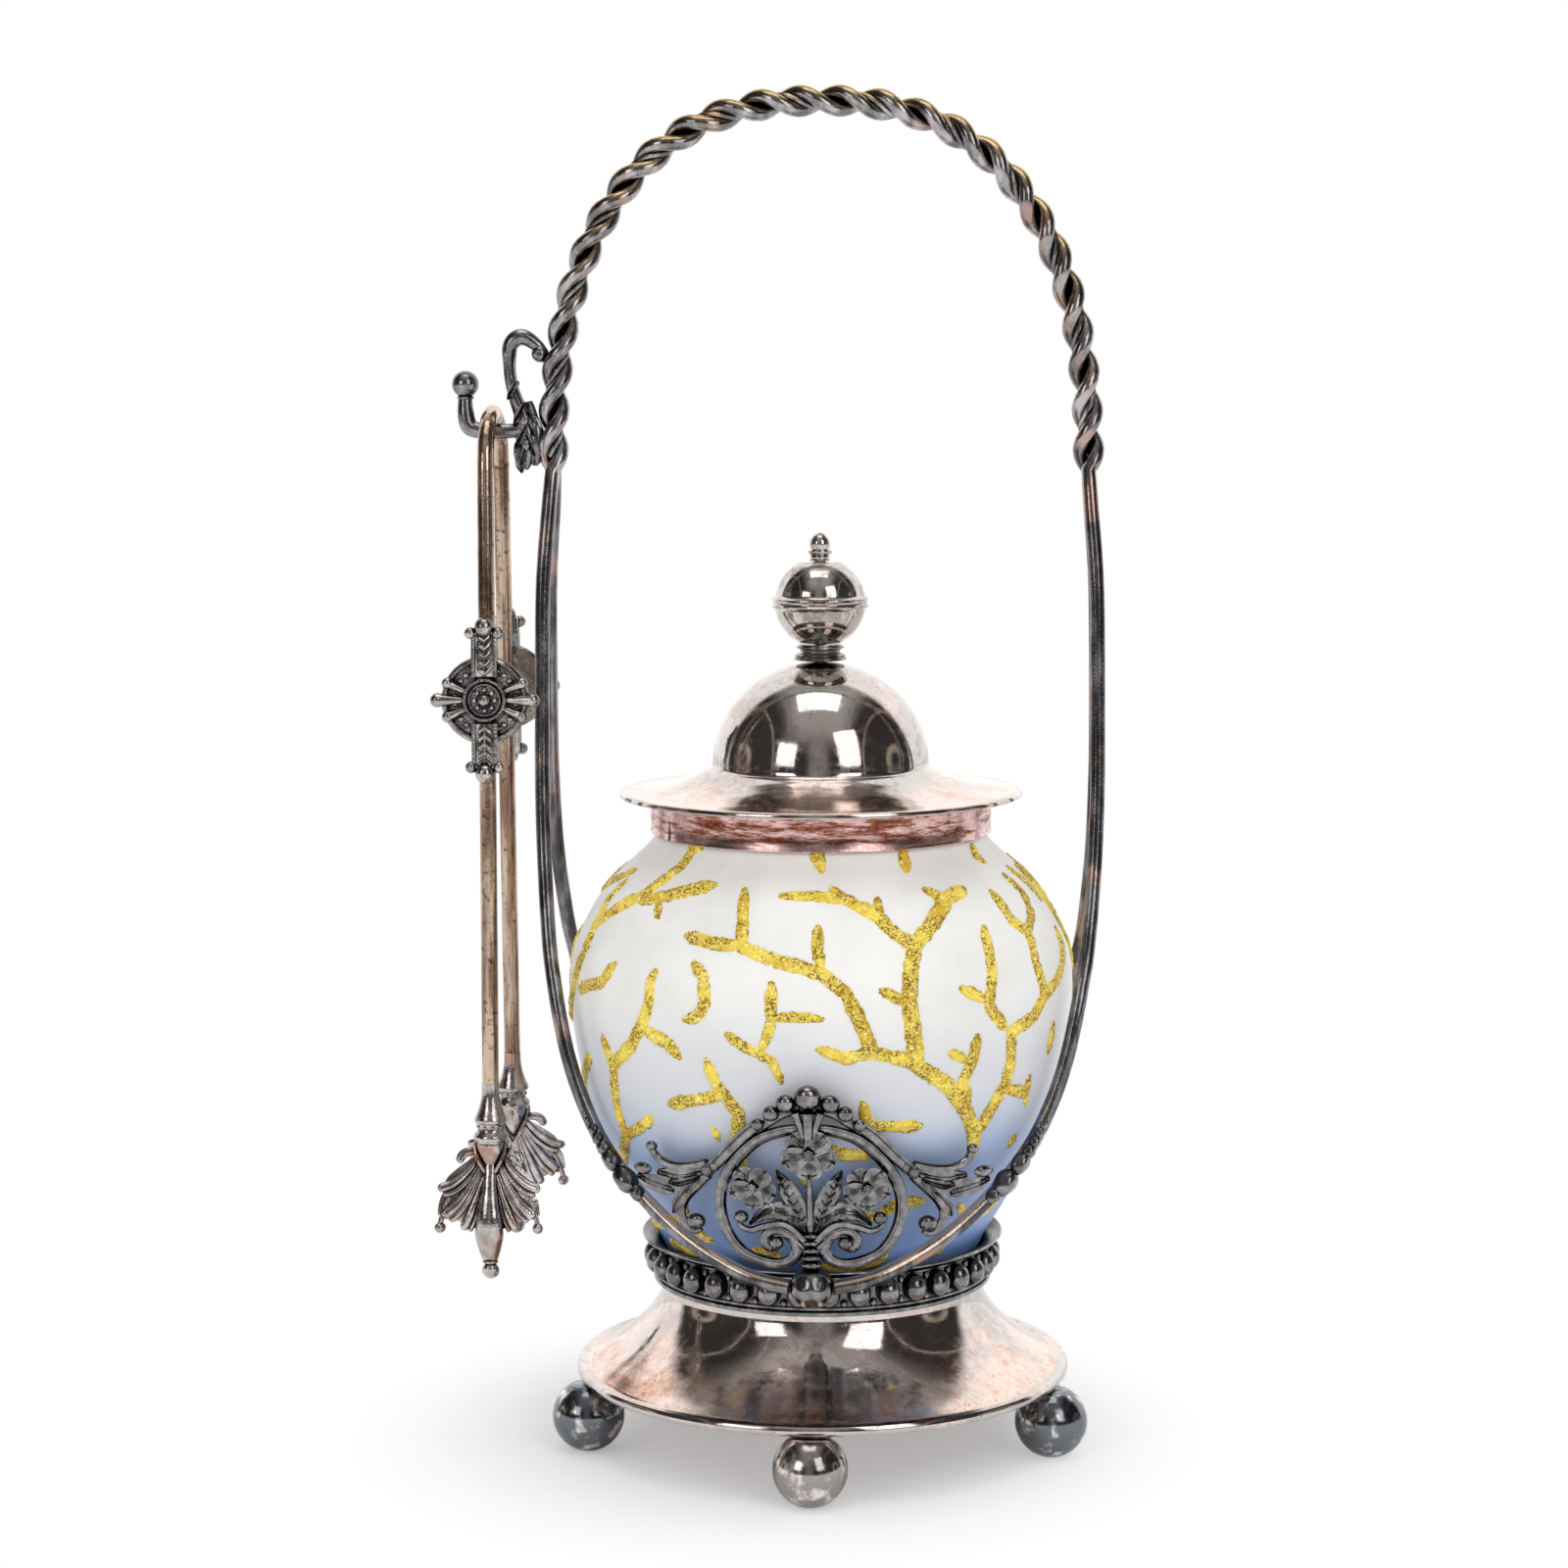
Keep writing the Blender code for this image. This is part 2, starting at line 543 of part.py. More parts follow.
def bend_round_jar(shape):
    """Bend a flat shape round the jar, leaning out with its height."""
    for vert in shape.verts:
        rise = (vert.co.z - BOSS_HEIGHT) / (ORNAMENT_BOTTOM + ORNAMENT_HEIGHT - BOSS_HEIGHT)
        reach = BOSS_REACH + (ORNAMENT_TOP_REACH - BOSS_REACH) * rise
        turn = math.asin(max(-1.0, min(1.0, vert.co.x / reach)))
        out = reach - vert.co.y
        vert.co.x, vert.co.y = out * math.sin(turn), -out * math.cos(turn)
    return shape


def flat_leaf(shares):
    """A flattened leaf along width and height shares."""
    shape = tube([ornament_spot(wide, high) for wide, high in shares], LEAF_RADIUS, LEAF_WIDTH_SHARES, 0)
    for vert in shape.verts:
        vert.co.y *= LEAF_FLATNESS_SHARE
    return shape


def flower(wide, high, size):
    """A five-petal flower with a raised eye, facing out."""
    radius = ORNAMENT_HALF_WIDTH * size
    half = FLOWER_THICKNESS / 2
    shape = bmesh.new()
    bmesh.ops.create_cone(shape, cap_ends=True, cap_tris=True, segments=FLOWER_PETALS * PETAL_STEP_COUNT,
                          radius1=radius, radius2=radius, depth=FLOWER_THICKNESS,
                          matrix=Matrix.Rotation(math.pi / 2, 4, "X"))
    for vert in shape.verts:
        out = math.hypot(vert.co.x, vert.co.z)
        if out < radius / 2:
            vert.co.y += math.copysign(half, vert.co.y)
            continue
        turn = math.atan2(vert.co.x, vert.co.z)
        stretch = 1.0 - FLOWER_PETAL_SHARE * (0.5 - 0.5 * math.cos(FLOWER_PETALS * turn)) ** 2
        vert.co.x *= stretch
        vert.co.z *= stretch
    bmesh.ops.translate(shape, verts=shape.verts, vec=ornament_spot(wide, high))
    return shape


def mirrored_tubes(shares, radius):
    """A tube along width, height and optional size shares, and its mirror image."""
    widths = [share[2] if len(share) > 2 else 1.0 for share in shares]
    right = [ornament_spot(share[0], share[1]) for share in shares]
    left = [ornament_spot(-share[0], share[1]) for share in shares]
    return [tube(right, radius, widths, 0), tube(left, radius, widths, 0)]


def ornament_shapes():
    """Every shape of one cast ornament, overlapping, bent round the jar."""
    half = [ornament_spot(wide, high) for wide, high in SCROLL_SHARES]
    mirror = [ornament_spot(-wide, high) for wide, high in SCROLL_SHARES]
    shapes = [tube(half + mirror[::-1], BAND_RADIUS, None, 0)]
    for wide, high in (SCROLL_SHARES[0], SIDE_SCROLL_SHARES[-1]):
        for side in (1.0, -1.0):
            shapes.append(ball(ornament_spot(wide * side, high), SCROLL_BALL_RADIUS))
    for wide, high, size in CREST_SHARES:
        for side in (1.0, -1.0) if wide else (1.0,):
            shapes.append(ball(ornament_spot(wide * side, high), CREST_BALL_RADIUS * size))
    rail = [ornament_spot(wide, high) for wide, high, _ in CREST_SHARES]
    rail = [ornament_spot(-wide, high) for wide, high, _ in CREST_SHARES[:0:-1]] + rail
    for spot in rail:
        spot.z -= CREST_RAIL_DROP
    shapes.append(tube(rail, CREST_RAIL_RADIUS, None, 0))
    spots = [ornament_spot(wide, high) for wide, high, _ in KEYSTONE_SHARES]
    shapes.append(tube(spots, CREST_BALL_RADIUS, [share[2] for share in KEYSTONE_SHARES], 0))
    collar_top = ornament_spot(0.0, SIDE_LEAF_SHARES[0][1])
    boss_top = Vector((0.0, 0.0, BOSS_HEIGHT + BOSS_RADIUS + SEAT_GAP))
    shapes.append(tube([boss_top, collar_top], STEM_COLLAR_RADIUS, None, 0))
    for index, (wide, high, size) in enumerate(FLOWER_SHARES):
        root = collar_top - Vector((0.0, 0.0, STEM_COLLAR_RADIUS * (0.4 + 0.3 * index)))
        shapes.append(flower(wide, high, size))
        shapes.append(tube([root, ornament_spot(wide, high)], STEM_RADIUS, None, 0))
    for shares in (UPRIGHT_LEAF_SHARES, SIDE_LEAF_SHARES):
        shapes.append(flat_leaf(shares))
        shapes.append(flat_leaf([(-wide, high) for wide, high in shares]))
    shapes += mirrored_tubes(SIDE_SCROLL_SHARES, SIDE_SCROLL_RADIUS)
    for shares in (WING_ROD_SHARES, WING_LEAF_SHARES, WING_TAIL_SHARES, WING_SCROLL_SHARES):
        shapes += mirrored_tubes(shares, WING_RADIUS)
    wide, high, _ = WING_SCROLL_SHARES[-1]
    for side in (1.0, -1.0):
        shapes.append(ball(ornament_spot(wide * side, high), WING_BALL_RADIUS))
    return [bend_round_jar(shape) for shape in shapes]


def add_ornaments(stand, material):
    """A pierced casting on the front boss, and its twin on the back."""
    fused("ornament_front", ornament_shapes(), material, stand)
    fused("ornament_back", ornament_shapes(), material, stand, math.pi)


def rope_edge(height):
    """Outer edge of the twisted rods at a height above the start of the twist."""
    rise = (height - TWIST_BOTTOM) / TWIST_RISE
    across = (1.0 - max(rise, 0.0) ** ARCH_SQUARENESS) ** (1.0 / ARCH_SQUARENESS)
    return TWIST_HALF_WIDTH * across + TWIST_RADIUS + ROD_RADIUS


def add_bracket(stand, material):
    """Cast bracket on the bail's left side, with the hook that the tongs hang on."""
    root = -(rope_edge(TWIST_BOTTOM) + BRACKET_RADIUS + SEAT_GAP / 3)
    arm_radius = BRACKET_RADIUS * BRACKET_SPINE_SHARES[2]
    front = -(TONG_REACH - TONG_RADIUS - arm_radius - SEAT_GAP * 2)
    tip = -(TONG_REACH + TONG_RADIUS + HOOK_ROOM + HOOK_RADIUS)
    shank = SADDLE_TOP - HOOK_RADIUS
    foot = shank - BRACKET_PENDANT
    crown = foot + BRACKET_HEIGHT
    clasp = crown - BRACKET_RADIUS * 1.5
    spine = [Vector((-(rope_edge(clasp - BRACKET_RADIUS) + SEAT_GAP + arm_radius), 0.0, clasp)),
             Vector((-(rope_edge(clasp) + BRACKET_RADIUS * 1.5), 0.0, crown)),
             Vector((front, 0.0, crown - BRACKET_RADIUS)),
             Vector((front, 0.0, crown - BRACKET_RADIUS * 3.5)),
             Vector((root - BRACKET_RADIUS / 10, 0.0, shank + BRACKET_RADIUS * 2)),
             Vector((root, 0.0, shank)),
             Vector((root, 0.0, shank - BRACKET_PENDANT * BRACKET_BODY_SHARE)),
             Vector((root, 0.0, foot))]
    hook = [Vector((root, 0.0, shank)),
            Vector((-TONG_REACH, 0.0, shank)),
            Vector((tip + HOOK_RADIUS, 0.0, shank + HOOK_RADIUS / 2)),
            Vector((tip, 0.0, shank + HOOK_DROP)),
            Vector((tip, 0.0, shank + HOOK_RISE))]
    shapes = [tube(spine, BRACKET_RADIUS, BRACKET_SPINE_SHARES), tube(hook, HOOK_RADIUS),
              ball(hook[-1], HOOK_BALL_RADIUS, BALL_SIDES, BALL_RINGS)]
    fused("hook_bracket", shapes, material, stand)


# Jar, lid and finial
def add_jar(stand, material):
    """Blown jar: an even wall, open at the neck."""
    outer = jar_outline()
    inner = [(radius - JAR_WALL, height) for radius, height in outer[4:-2:2] + outer[-2:]]
    floor = JAR_BOTTOM + JAR_WALL
    outline = [(0.0, JAR_BOTTOM)] + outer + inner[::-1] + [(outer[1][0] - JAR_WALL, floor), (0.0, floor)]
    place("jar", turned("jar", outline), material, stand)


def dome_points(radius, height, base, steps, bore):
    """Quarter-ellipse outline of a dome, from its foot up to its bore."""
    points = []
    last = math.acos(bore / radius)
    for step in range(steps + 1):
        turn = last * step / steps
        points.append((radius * math.cos(turn), base + height * math.sin(turn)))
    return points


def lid_inside():
    """Inner outline of the dome, from its foot up to its bore."""
    return dome_points(LID_DOME_RADIUS - LID_WALL, LID_DOME_HEIGHT - LID_WALL, LID_BOTTOM + LID_DOME_BASE,
                       LID_INSIDE_STEPS, FINIAL_BORE)


def height_inside_lid(radius):
    """Height of the dome's inner face at a radius."""
    points = lid_inside()
    for (wide, low), (narrow, high) in zip(points, points[1:]):
        if narrow <= radius <= wide:
            return low + (high - low) * (wide - radius) / (wide - narrow)
    return points[0][1]


def add_lid(stand, material, copper):
    """Lid: a brim and dome spun in one, with a collar soldered under the brim."""
    brim = LID_BOTTOM + LID_BRIM_EDGE
    dome_base = LID_BOTTOM + LID_DOME_BASE
    outline = [(LID_BRIM_RADIUS, LID_BOTTOM), (LID_BRIM_RADIUS, brim)]
    for out, up in LID_BRIM_SHARES:
        outline.append((LID_DOME_RADIUS + (LID_BRIM_RADIUS - LID_DOME_RADIUS) * out,
                        brim + (dome_base - brim) * up))
    outline += dome_points(LID_DOME_RADIUS, LID_DOME_HEIGHT, dome_base, LID_DOME_STEPS, FINIAL_BORE)
    outline += lid_inside()[::-1]
    outline.append((JAR_NECK_RADIUS - JAR_WALL, LID_BOTTOM + LID_WALL))
    outline.append((JAR_NECK_RADIUS - JAR_WALL, LID_BOTTOM))
    place("lid_shell", turned("lid_shell", outline), material, stand)

    bore = JAR_NECK_RADIUS + LID_CLEARANCE
    top = LID_BOTTOM - SEAT_GAP
    ring = [(bore, top - COLLAR_HEIGHT), (bore + COLLAR_WALL, top - COLLAR_HEIGHT), (bore + COLLAR_WALL, top),
            (bore, top)]
    place("lid_collar", turned("lid_collar", ring), copper, stand)


def add_finial(stand, material):
    """Finial: a waisted neck, a banded ball and an acorn tip on a stud, held by a nut in the lid."""
    neck_bottom = LID_TOP + SEAT_GAP
    neck = [(FINIAL_NECK_RADIUS * out, neck_bottom + FINIAL_NECK_HEIGHT * up)
            for out, up in FINIAL_NECK_SHARES]
    neck += [(FINIAL_BORE, neck_bottom + FINIAL_NECK_HEIGHT), (FINIAL_BORE, neck_bottom)]
    place("finial_neck", turned("finial_neck", neck, FINIAL_SIDES), material, stand)

    centre = FINIAL_BALL_BOTTOM + FINIAL_BALL_HALF
    seat = math.acos(FINIAL_SEAT_RADIUS / FINIAL_BALL_RADIUS)
    band = math.asin(FINIAL_BAND_HEIGHT / 2 / FINIAL_BALL_RADIUS)
    lower = []
    for step in range(FINIAL_BALL_STEPS + 1):
        turn = seat + (band - seat) * step / FINIAL_BALL_STEPS
        lower.append((FINIAL_BALL_RADIUS * math.cos(turn), centre - FINIAL_BALL_RADIUS * math.sin(turn)))
    upper = [(radius, 2 * centre - height) for radius, height in lower[::-1]]
    flat = FINIAL_BAND_HEIGHT / 3
    sphere = lower + [(FINIAL_BAND_RADIUS, centre - flat), (FINIAL_BAND_RADIUS, centre + flat)] + upper
    sphere += [(FINIAL_BORE, upper[-1][1]), (FINIAL_BORE, lower[0][1])]
    place("finial_ball", turned("finial_ball", sphere, FINIAL_SIDES), material, stand)

    socket = FINIAL_TIP_BOTTOM + FINIAL_TIP_HEIGHT / 2
    tip = [(0.0, socket), (FINIAL_BORE, socket), (FINIAL_BORE, FINIAL_TIP_BOTTOM)]
    tip += [(FINIAL_TIP_RADIUS * out, FINIAL_TIP_BOTTOM + FINIAL_TIP_HEIGHT * up)
            for out, up in FINIAL_TIP_SHARES]
    tip.append((0.0, FINIAL_TOP))
    place("finial_tip", turned("finial_tip", tip, SMALL_SIDES), material, stand)

    nut_top = height_inside_lid(NUT_RADIUS) - SEAT_GAP
    stud = [(0.0, nut_top - NUT_HEIGHT), (STUD_RADIUS, nut_top - NUT_HEIGHT),
            (STUD_RADIUS, socket - SEAT_GAP), (0.0, socket - SEAT_GAP)]
    place("finial_stud", turned("finial_stud", stud, SMALL_SIDES), material, stand)
    nut = [(FINIAL_BORE, nut_top), (NUT_RADIUS, nut_top), (NUT_RADIUS, nut_top - NUT_HEIGHT),
           (FINIAL_BORE, nut_top - NUT_HEIGHT)]
    place("finial_nut", turned("finial_nut", nut[::-1], 6), material, stand)


# Tongs
def hang_hinge(name, side):
    """Empty on the axis about which an arm springs, tilted by the splay."""
    hinge = bpy.data.objects.new(name, None)
    bpy.context.scene.collection.objects.link(hinge)
    hinge.location = (AXIS_X - TONG_REACH, -TONG_HALF_GAP * side, BOW_HEIGHT)
    hinge.rotation_euler = (-TONG_SPLAY, 0.0, 0.0 if side > 0 else math.pi)
    return hinge


def add_bow(material):
    """Sprung bow at the top of the tongs."""
    swing = math.pi - 2 * SEAT_GAP / TONG_HALF_GAP
    route = []
    for step in range(BOW_POINTS):
        turn = swing * (step / (BOW_POINTS - 1) - 0.5)
        route.append(Vector((0.0, TONG_HALF_GAP * math.sin(turn), TONG_HALF_GAP * math.cos(turn))))
    holder = bpy.data.objects.new("tongs_hang", None)
    bpy.context.scene.collection.objects.link(holder)
    holder.location = (AXIS_X - TONG_REACH, 0.0, BOW_HEIGHT)
    place("tong_bow", smooth_mesh("tong_bow", tube(route, TONG_RADIUS)), material, holder)


def claw_shapes():
    """Fluted claw: five tapering fingers from one knob, curling in towards the other arm."""
    root = -(ARM_LENGTH + FERRULE_HEIGHT + 2 * SEAT_GAP)
    shapes = [ball((0.0, 0.0, root - CLAW_KNOB_RADIUS), CLAW_KNOB_RADIUS, 8, 6)]
    steps = len(CLAW_WIDTH_SHARES) - 1
    for wide, reach in CLAW_REACH_SHARES:
        route = []
        for step in range(steps + 1):
            share = CLAW_ROOT_SHARE + (1.0 - CLAW_ROOT_SHARE) * step / steps
            curl = CLAW_CURL_SHARE * CLAW_LENGTH * math.sin(math.pi * share)
            length = (CLAW_LENGTH - CLAW_TIP_RADIUS) * reach
            route.append(Vector((CLAW_HALF_WIDTH * wide * share ** 0.8, -curl, root - length * share)))
        shapes.append(tube(route, CLAW_RADIUS, CLAW_WIDTH_SHARES, 0))
        shapes.append(ball(route[-1], CLAW_TIP_RADIUS if wide == 0.0 else CLAW_BALL_RADIUS))
    return shapes


def medal_shapes():
    """Medallion: a round plate with a hub, an upright bar with ball ends, and a fan at each side."""
    back = -(TONG_RADIUS + SEAT_GAP)
    facing = Matrix.Rotation(math.pi / 2, 4, "X")
    plate = bmesh.new()
    bmesh.ops.create_cone(plate, cap_ends=True, segments=FINIAL_SIDES, radius1=MEDAL_RADIUS,
                          radius2=MEDAL_RADIUS, depth=MEDAL_THICKNESS,
                          matrix=Matrix.Translation((0.0, back - MEDAL_THICKNESS / 2, -MEDAL_DROP)) @ facing)
    hub = bmesh.new()
    bmesh.ops.create_cone(hub, cap_ends=True, segments=SMALL_SIDES, radius1=MEDAL_HUB_RADIUS,
                          radius2=MEDAL_HUB_RADIUS - MEDAL_THICKNESS / 2, depth=MEDAL_THICKNESS * 1.5,
                          matrix=Matrix.Translation((0.0, back - MEDAL_THICKNESS, -MEDAL_DROP)) @ facing)
    bar = bmesh.new()
    size = Matrix.Diagonal((MEDAL_BAR_WIDTH, MEDAL_THICKNESS * 1.2, MEDAL_BAR_LENGTH, 1.0))
    bmesh.ops.create_cube(bar, size=1.0,
                          matrix=Matrix.Translation((0.0, back - MEDAL_THICKNESS * 0.8, -MEDAL_DROP)) @ size)
    shapes = [plate, hub, bar]
    small = MEDAL_BALL_RADIUS * 0.7
    for side in (1.0, -1.0):
        fan_depth = back - MEDAL_FAN_RADIUS
        fan = [Vector((MEDAL_HUB_RADIUS / 2 * side, fan_depth, -MEDAL_DROP)),
               Vector(((MEDAL_FAN_REACH - MEDAL_FAN_RADIUS / 2) * side, fan_depth, -MEDAL_DROP)),
               Vector((MEDAL_FAN_REACH * side, fan_depth, -MEDAL_DROP))]
        shapes.append(tube(fan, MEDAL_FAN_RADIUS, (0.4, 0.9, 0.3)))
        end = -MEDAL_DROP + MEDAL_BAR_LENGTH / 2 * side
        shapes.append(ball((0.0, back - MEDAL_BALL_RADIUS, end), MEDAL_BALL_RADIUS))
        for across in (1.0, -1.0):
            spot = (MEDAL_BAR_WIDTH / 2 * across, back - MEDAL_BALL_RADIUS, end - MEDAL_BALL_RADIUS * side)
            shapes.append(ball(spot, small))
    return shapes


def add_tong_arm(which, side, material):
    """One arm with its ferrule, claw and medallion, hanging from its hinge."""
    hinge = hang_hinge(f"{which}_hinge", side)
    top = -SEAT_GAP
    arm = [Vector((0.0, 0.0, top)), Vector((0.0, 0.0, -ARM_LENGTH))]
    place(f"tong_arm_{which}", smooth_mesh("tong_arm", tube(arm, TONG_RADIUS)), material, hinge)
    ferrule_top = -(ARM_LENGTH + SEAT_GAP)
    outline = [(0.0, ferrule_top)]
    outline += [(FERRULE_RADIUS * out, ferrule_top - FERRULE_HEIGHT * down) for out, down in FERRULE_SHARES]
    outline.append((0.0, ferrule_top - FERRULE_HEIGHT))
    place(f"tong_ferrule_{which}", turned("tong_ferrule", outline, SMALL_SIDES), material, hinge)
    fused(f"tong_claw_{which}", claw_shapes(), material, hinge)
    fused(f"tong_medallion_{which}", medal_shapes(), material, hinge)


def build():
    """The whole castor."""
    clear_scene()
    silver = finish("worn_silver_plate", (0.62, 0.57, 0.52), 1.0, 0.25)
    dark = finish("dark_cast_silver", (0.24, 0.24, 0.25), 1.0, 0.35)
    copper = finish("copper_rubbed_plate", (0.56, 0.36, 0.30), 1.0, 0.35)
    bronze = finish("bronzed_tongs", (0.36, 0.27, 0.22), 1.0, 0.4)
    glass = finish("satin_glass", (0.76, 0.79, 0.84), 0.0, 0.4)

    stand = bpy.data.objects.new("stand_axis", None)
    bpy.context.scene.collection.objects.link(stand)
    stand.location = (AXIS_X, 0.0, 0.0)

    add_base(stand, silver)
    add_feet(stand, dark)
    add_gallery(stand, dark)
    add_bosses(stand, dark)
    add_bail(stand, dark)
    add_ornaments(stand, dark)
    add_bracket(stand, dark)
    add_jar(stand, glass)
    add_lid(stand, silver, copper)
    add_finial(stand, silver)
    add_bow(bronze)
    add_tong_arm("near", 1.0, bronze)
    add_tong_arm("far", -1.0, bronze)


build()
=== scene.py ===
import math
import random

import bmesh
import bpy
from mathutils import Matrix, Vector


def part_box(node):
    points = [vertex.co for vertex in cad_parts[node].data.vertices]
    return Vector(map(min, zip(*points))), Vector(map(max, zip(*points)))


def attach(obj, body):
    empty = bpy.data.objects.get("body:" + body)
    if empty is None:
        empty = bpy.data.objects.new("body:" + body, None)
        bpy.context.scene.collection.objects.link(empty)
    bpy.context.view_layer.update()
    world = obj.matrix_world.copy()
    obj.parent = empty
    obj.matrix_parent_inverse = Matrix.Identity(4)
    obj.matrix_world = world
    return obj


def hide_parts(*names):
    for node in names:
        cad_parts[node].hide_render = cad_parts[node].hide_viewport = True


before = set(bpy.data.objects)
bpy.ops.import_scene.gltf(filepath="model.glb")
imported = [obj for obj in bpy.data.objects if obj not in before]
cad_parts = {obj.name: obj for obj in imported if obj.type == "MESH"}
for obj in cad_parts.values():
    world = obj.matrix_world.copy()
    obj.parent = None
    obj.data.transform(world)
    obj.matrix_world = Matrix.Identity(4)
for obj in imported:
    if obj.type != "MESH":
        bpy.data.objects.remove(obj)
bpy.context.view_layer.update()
scene = bpy.context.scene
scene.view_settings.view_transform = "Standard"

# Viewpoint
# A long lens a little above the jar's lid and a little to the right of the front, as a catalogue
# picture of a castor is taken. The stand's upright axis is the middle of its round base.
base_low, base_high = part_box("base_shell")
AXIS = Vector(((base_low.x + base_high.x) / 2, 0.0, 0.0))
VIEW_TURN = math.radians(2.85)
VIEW_AIM = math.radians(3.45)
VIEW_PITCH = math.radians(6.74)
VIEW_ROLL = math.radians(-0.25)
VIEW_DISTANCE = 0.7576
VIEW_HEIGHT = 0.2331
ahead = Vector((-math.sin(VIEW_AIM) * math.cos(VIEW_PITCH), math.cos(VIEW_AIM) * math.cos(VIEW_PITCH),
                -math.sin(VIEW_PITCH)))
level = Vector((math.cos(VIEW_AIM), math.sin(VIEW_AIM), 0.0))
across = math.cos(VIEW_ROLL) * level + math.sin(VIEW_ROLL) * level.cross(ahead)
upward = across.cross(ahead)
lens = bpy.data.cameras.new("view")
lens.lens = 81.0
lens.sensor_width = 36.0
lens.clip_start = 0.01
camera = bpy.data.objects.new("view", lens)
camera.matrix_world = Matrix.Translation(AXIS + Vector((
    VIEW_DISTANCE * math.sin(VIEW_TURN), -VIEW_DISTANCE * math.cos(VIEW_TURN), VIEW_HEIGHT))) @ Matrix((
        across, upward, -ahead)).transposed().to_4x4()
scene.collection.objects.link(camera)
scene.camera = camera


# Studio
# A pale table before a white sweep that rises behind the object, a broad softbox overhead and one at
# each side of the camera, in a dark room with a grey ceiling and pale beams along its walls.
class Flow:
    """A value on its way through a finish; arithmetic on it adds Math nodes."""

    def __init__(self, tree, socket=None):
        self.tree = tree
        self.socket = socket

    def node(self, kind, settings=None, values=None, give=0):
        """Any other node: its settings, then its sockets' values or links."""
        made = self.tree.nodes.new(kind)
        for name, setting in (settings or {}).items():
            setattr(made, name, setting)
        for name, value in (values or {}).items():
            if isinstance(value, Flow):
                self.tree.links.new(value.socket, made.inputs[name])
            else:
                made.inputs[name].default_value = value
        return Flow(self.tree, made.outputs[give]) if len(made.outputs) else None

    def __add__(self, other):
        return self.node("ShaderNodeMath", {"operation": "ADD"}, {0: self, 1: other})

    __radd__ = __add__

    def __sub__(self, other):
        return self.node("ShaderNodeMath", {"operation": "SUBTRACT"}, {0: self, 1: other})

    def __rsub__(self, other):
        return self.node("ShaderNodeMath", {"operation": "SUBTRACT"}, {0: other, 1: self})

    def __mul__(self, other):
        return self.node("ShaderNodeMath", {"operation": "MULTIPLY"}, {0: self, 1: other})

    __rmul__ = __mul__

    def __abs__(self):
        return self.node("ShaderNodeMath", {"operation": "ABSOLUTE"}, {0: self})


def part_of(vector, axis):
    """One axis of a vector, X, Y or Z."""
    return vector.node("ShaderNodeSeparateXYZ", values={"Vector": vector}, give=axis)


def ramp(value, low, high):
    """0 below low and 1 above high, eased between; low may be the larger."""
    return value.node("ShaderNodeMapRange", {"interpolation_type": "SMOOTHSTEP"}, {
        "Value": value, "From Min": low, "From Max": high})


def blend(mask, first, second):
    """From the first colour to the second as the mask goes from 0 to 1."""
    return mask.node("ShaderNodeMix", {"data_type": "RGBA"}, {0: mask, 6: first, 7: second}, 2)


def tint(red, green, blue):
    """A colour written as seen on a screen, 0 to 255, as a shader wants it."""
    return tuple((part / 255 / 12.92 if part < 10.4 else ((part / 255 + 0.055) / 1.055) ** 2.4)
                 for part in (red, green, blue)) + (1.0,)


WHITE = (1.0, 1.0, 1.0, 1.0)
JAR_MIDDLE = 0.11
world = bpy.data.worlds.new("studio")
scene.world = world
world.use_nodes = True
world.node_tree.nodes.clear()
heading = Flow(world.node_tree).node("ShaderNodeTexCoord", give="Generated")
high = part_of(heading, "Z")
aside = abs(part_of(heading, "X"))
sweep = ramp(part_of(heading, "Y"), 0.34, 0.46)
ceiling = ramp(high, 0.30, 0.85) * (1.0 - ramp(aside, 0.30, 0.62))
spacing = heading.node("ShaderNodeMath", {"operation": "PINGPONG"}, {0: aside + high * 0.10, 1: 0.11})
beams = ramp(spacing, 0.096, 0.108) * ramp(aside, 0.42, 0.50)
lit = heading.node("ShaderNodeMath", {"operation": "MAXIMUM"}, {
    0: ceiling, 1: 0.58 - ramp(aside, 0.08, 0.26) * 0.58})
wall = blend(lit, (0.042, 0.040, 0.040, 1.0), (0.42, 0.41, 0.40, 1.0))
room = blend(beams * ramp(high, -0.1, 0.1), wall, (0.42, 0.36, 0.30, 1.0))
seen, mirrored, through = [heading.node("ShaderNodeLightPath", give=f"Is {kind} Ray")
                           for kind in ("Camera", "Glossy", "Transmission")]
studio = blend(sweep, room, (1.20, 1.19, 1.19, 1.0))
fill = blend(mirrored, (0.80, 0.80, 0.81, 1.0), studio)
straight = heading.node("ShaderNodeMath", {"operation": "MAXIMUM"}, {0: seen, 1: through})
sky = heading.node("ShaderNodeBackground", values={"Color": blend(straight, fill, WHITE), "Strength": 1.0})
heading.node("ShaderNodeOutputWorld", values={"Surface": sky})


def softbox(name, towards, distance, width, height, watts):
    """A flat lamp in a direction from the jar, turned to face it."""
    lamp = bpy.data.lights.new(name, "AREA")
    lamp.shape = "RECTANGLE"
    lamp.size = width
    lamp.size_y = height
    lamp.energy = watts
    holder = bpy.data.objects.new(name, lamp)
    towards = Vector(towards).normalized()
    sideways = Vector((1.0, 0.0, 0.0)) if towards.z > 0.9 else Vector((-towards.y, towards.x, 0.0))
    sideways = (sideways - towards * sideways.dot(towards)).normalized()
    stand_at = AXIS + Vector((0.0, 0.0, JAR_MIDDLE)) + towards * distance
    holder.matrix_world = Matrix.Translation(stand_at) @ Matrix((
        sideways, towards.cross(sideways), towards)).transposed().to_4x4()
    holder.visible_camera = False
    scene.collection.objects.link(holder)


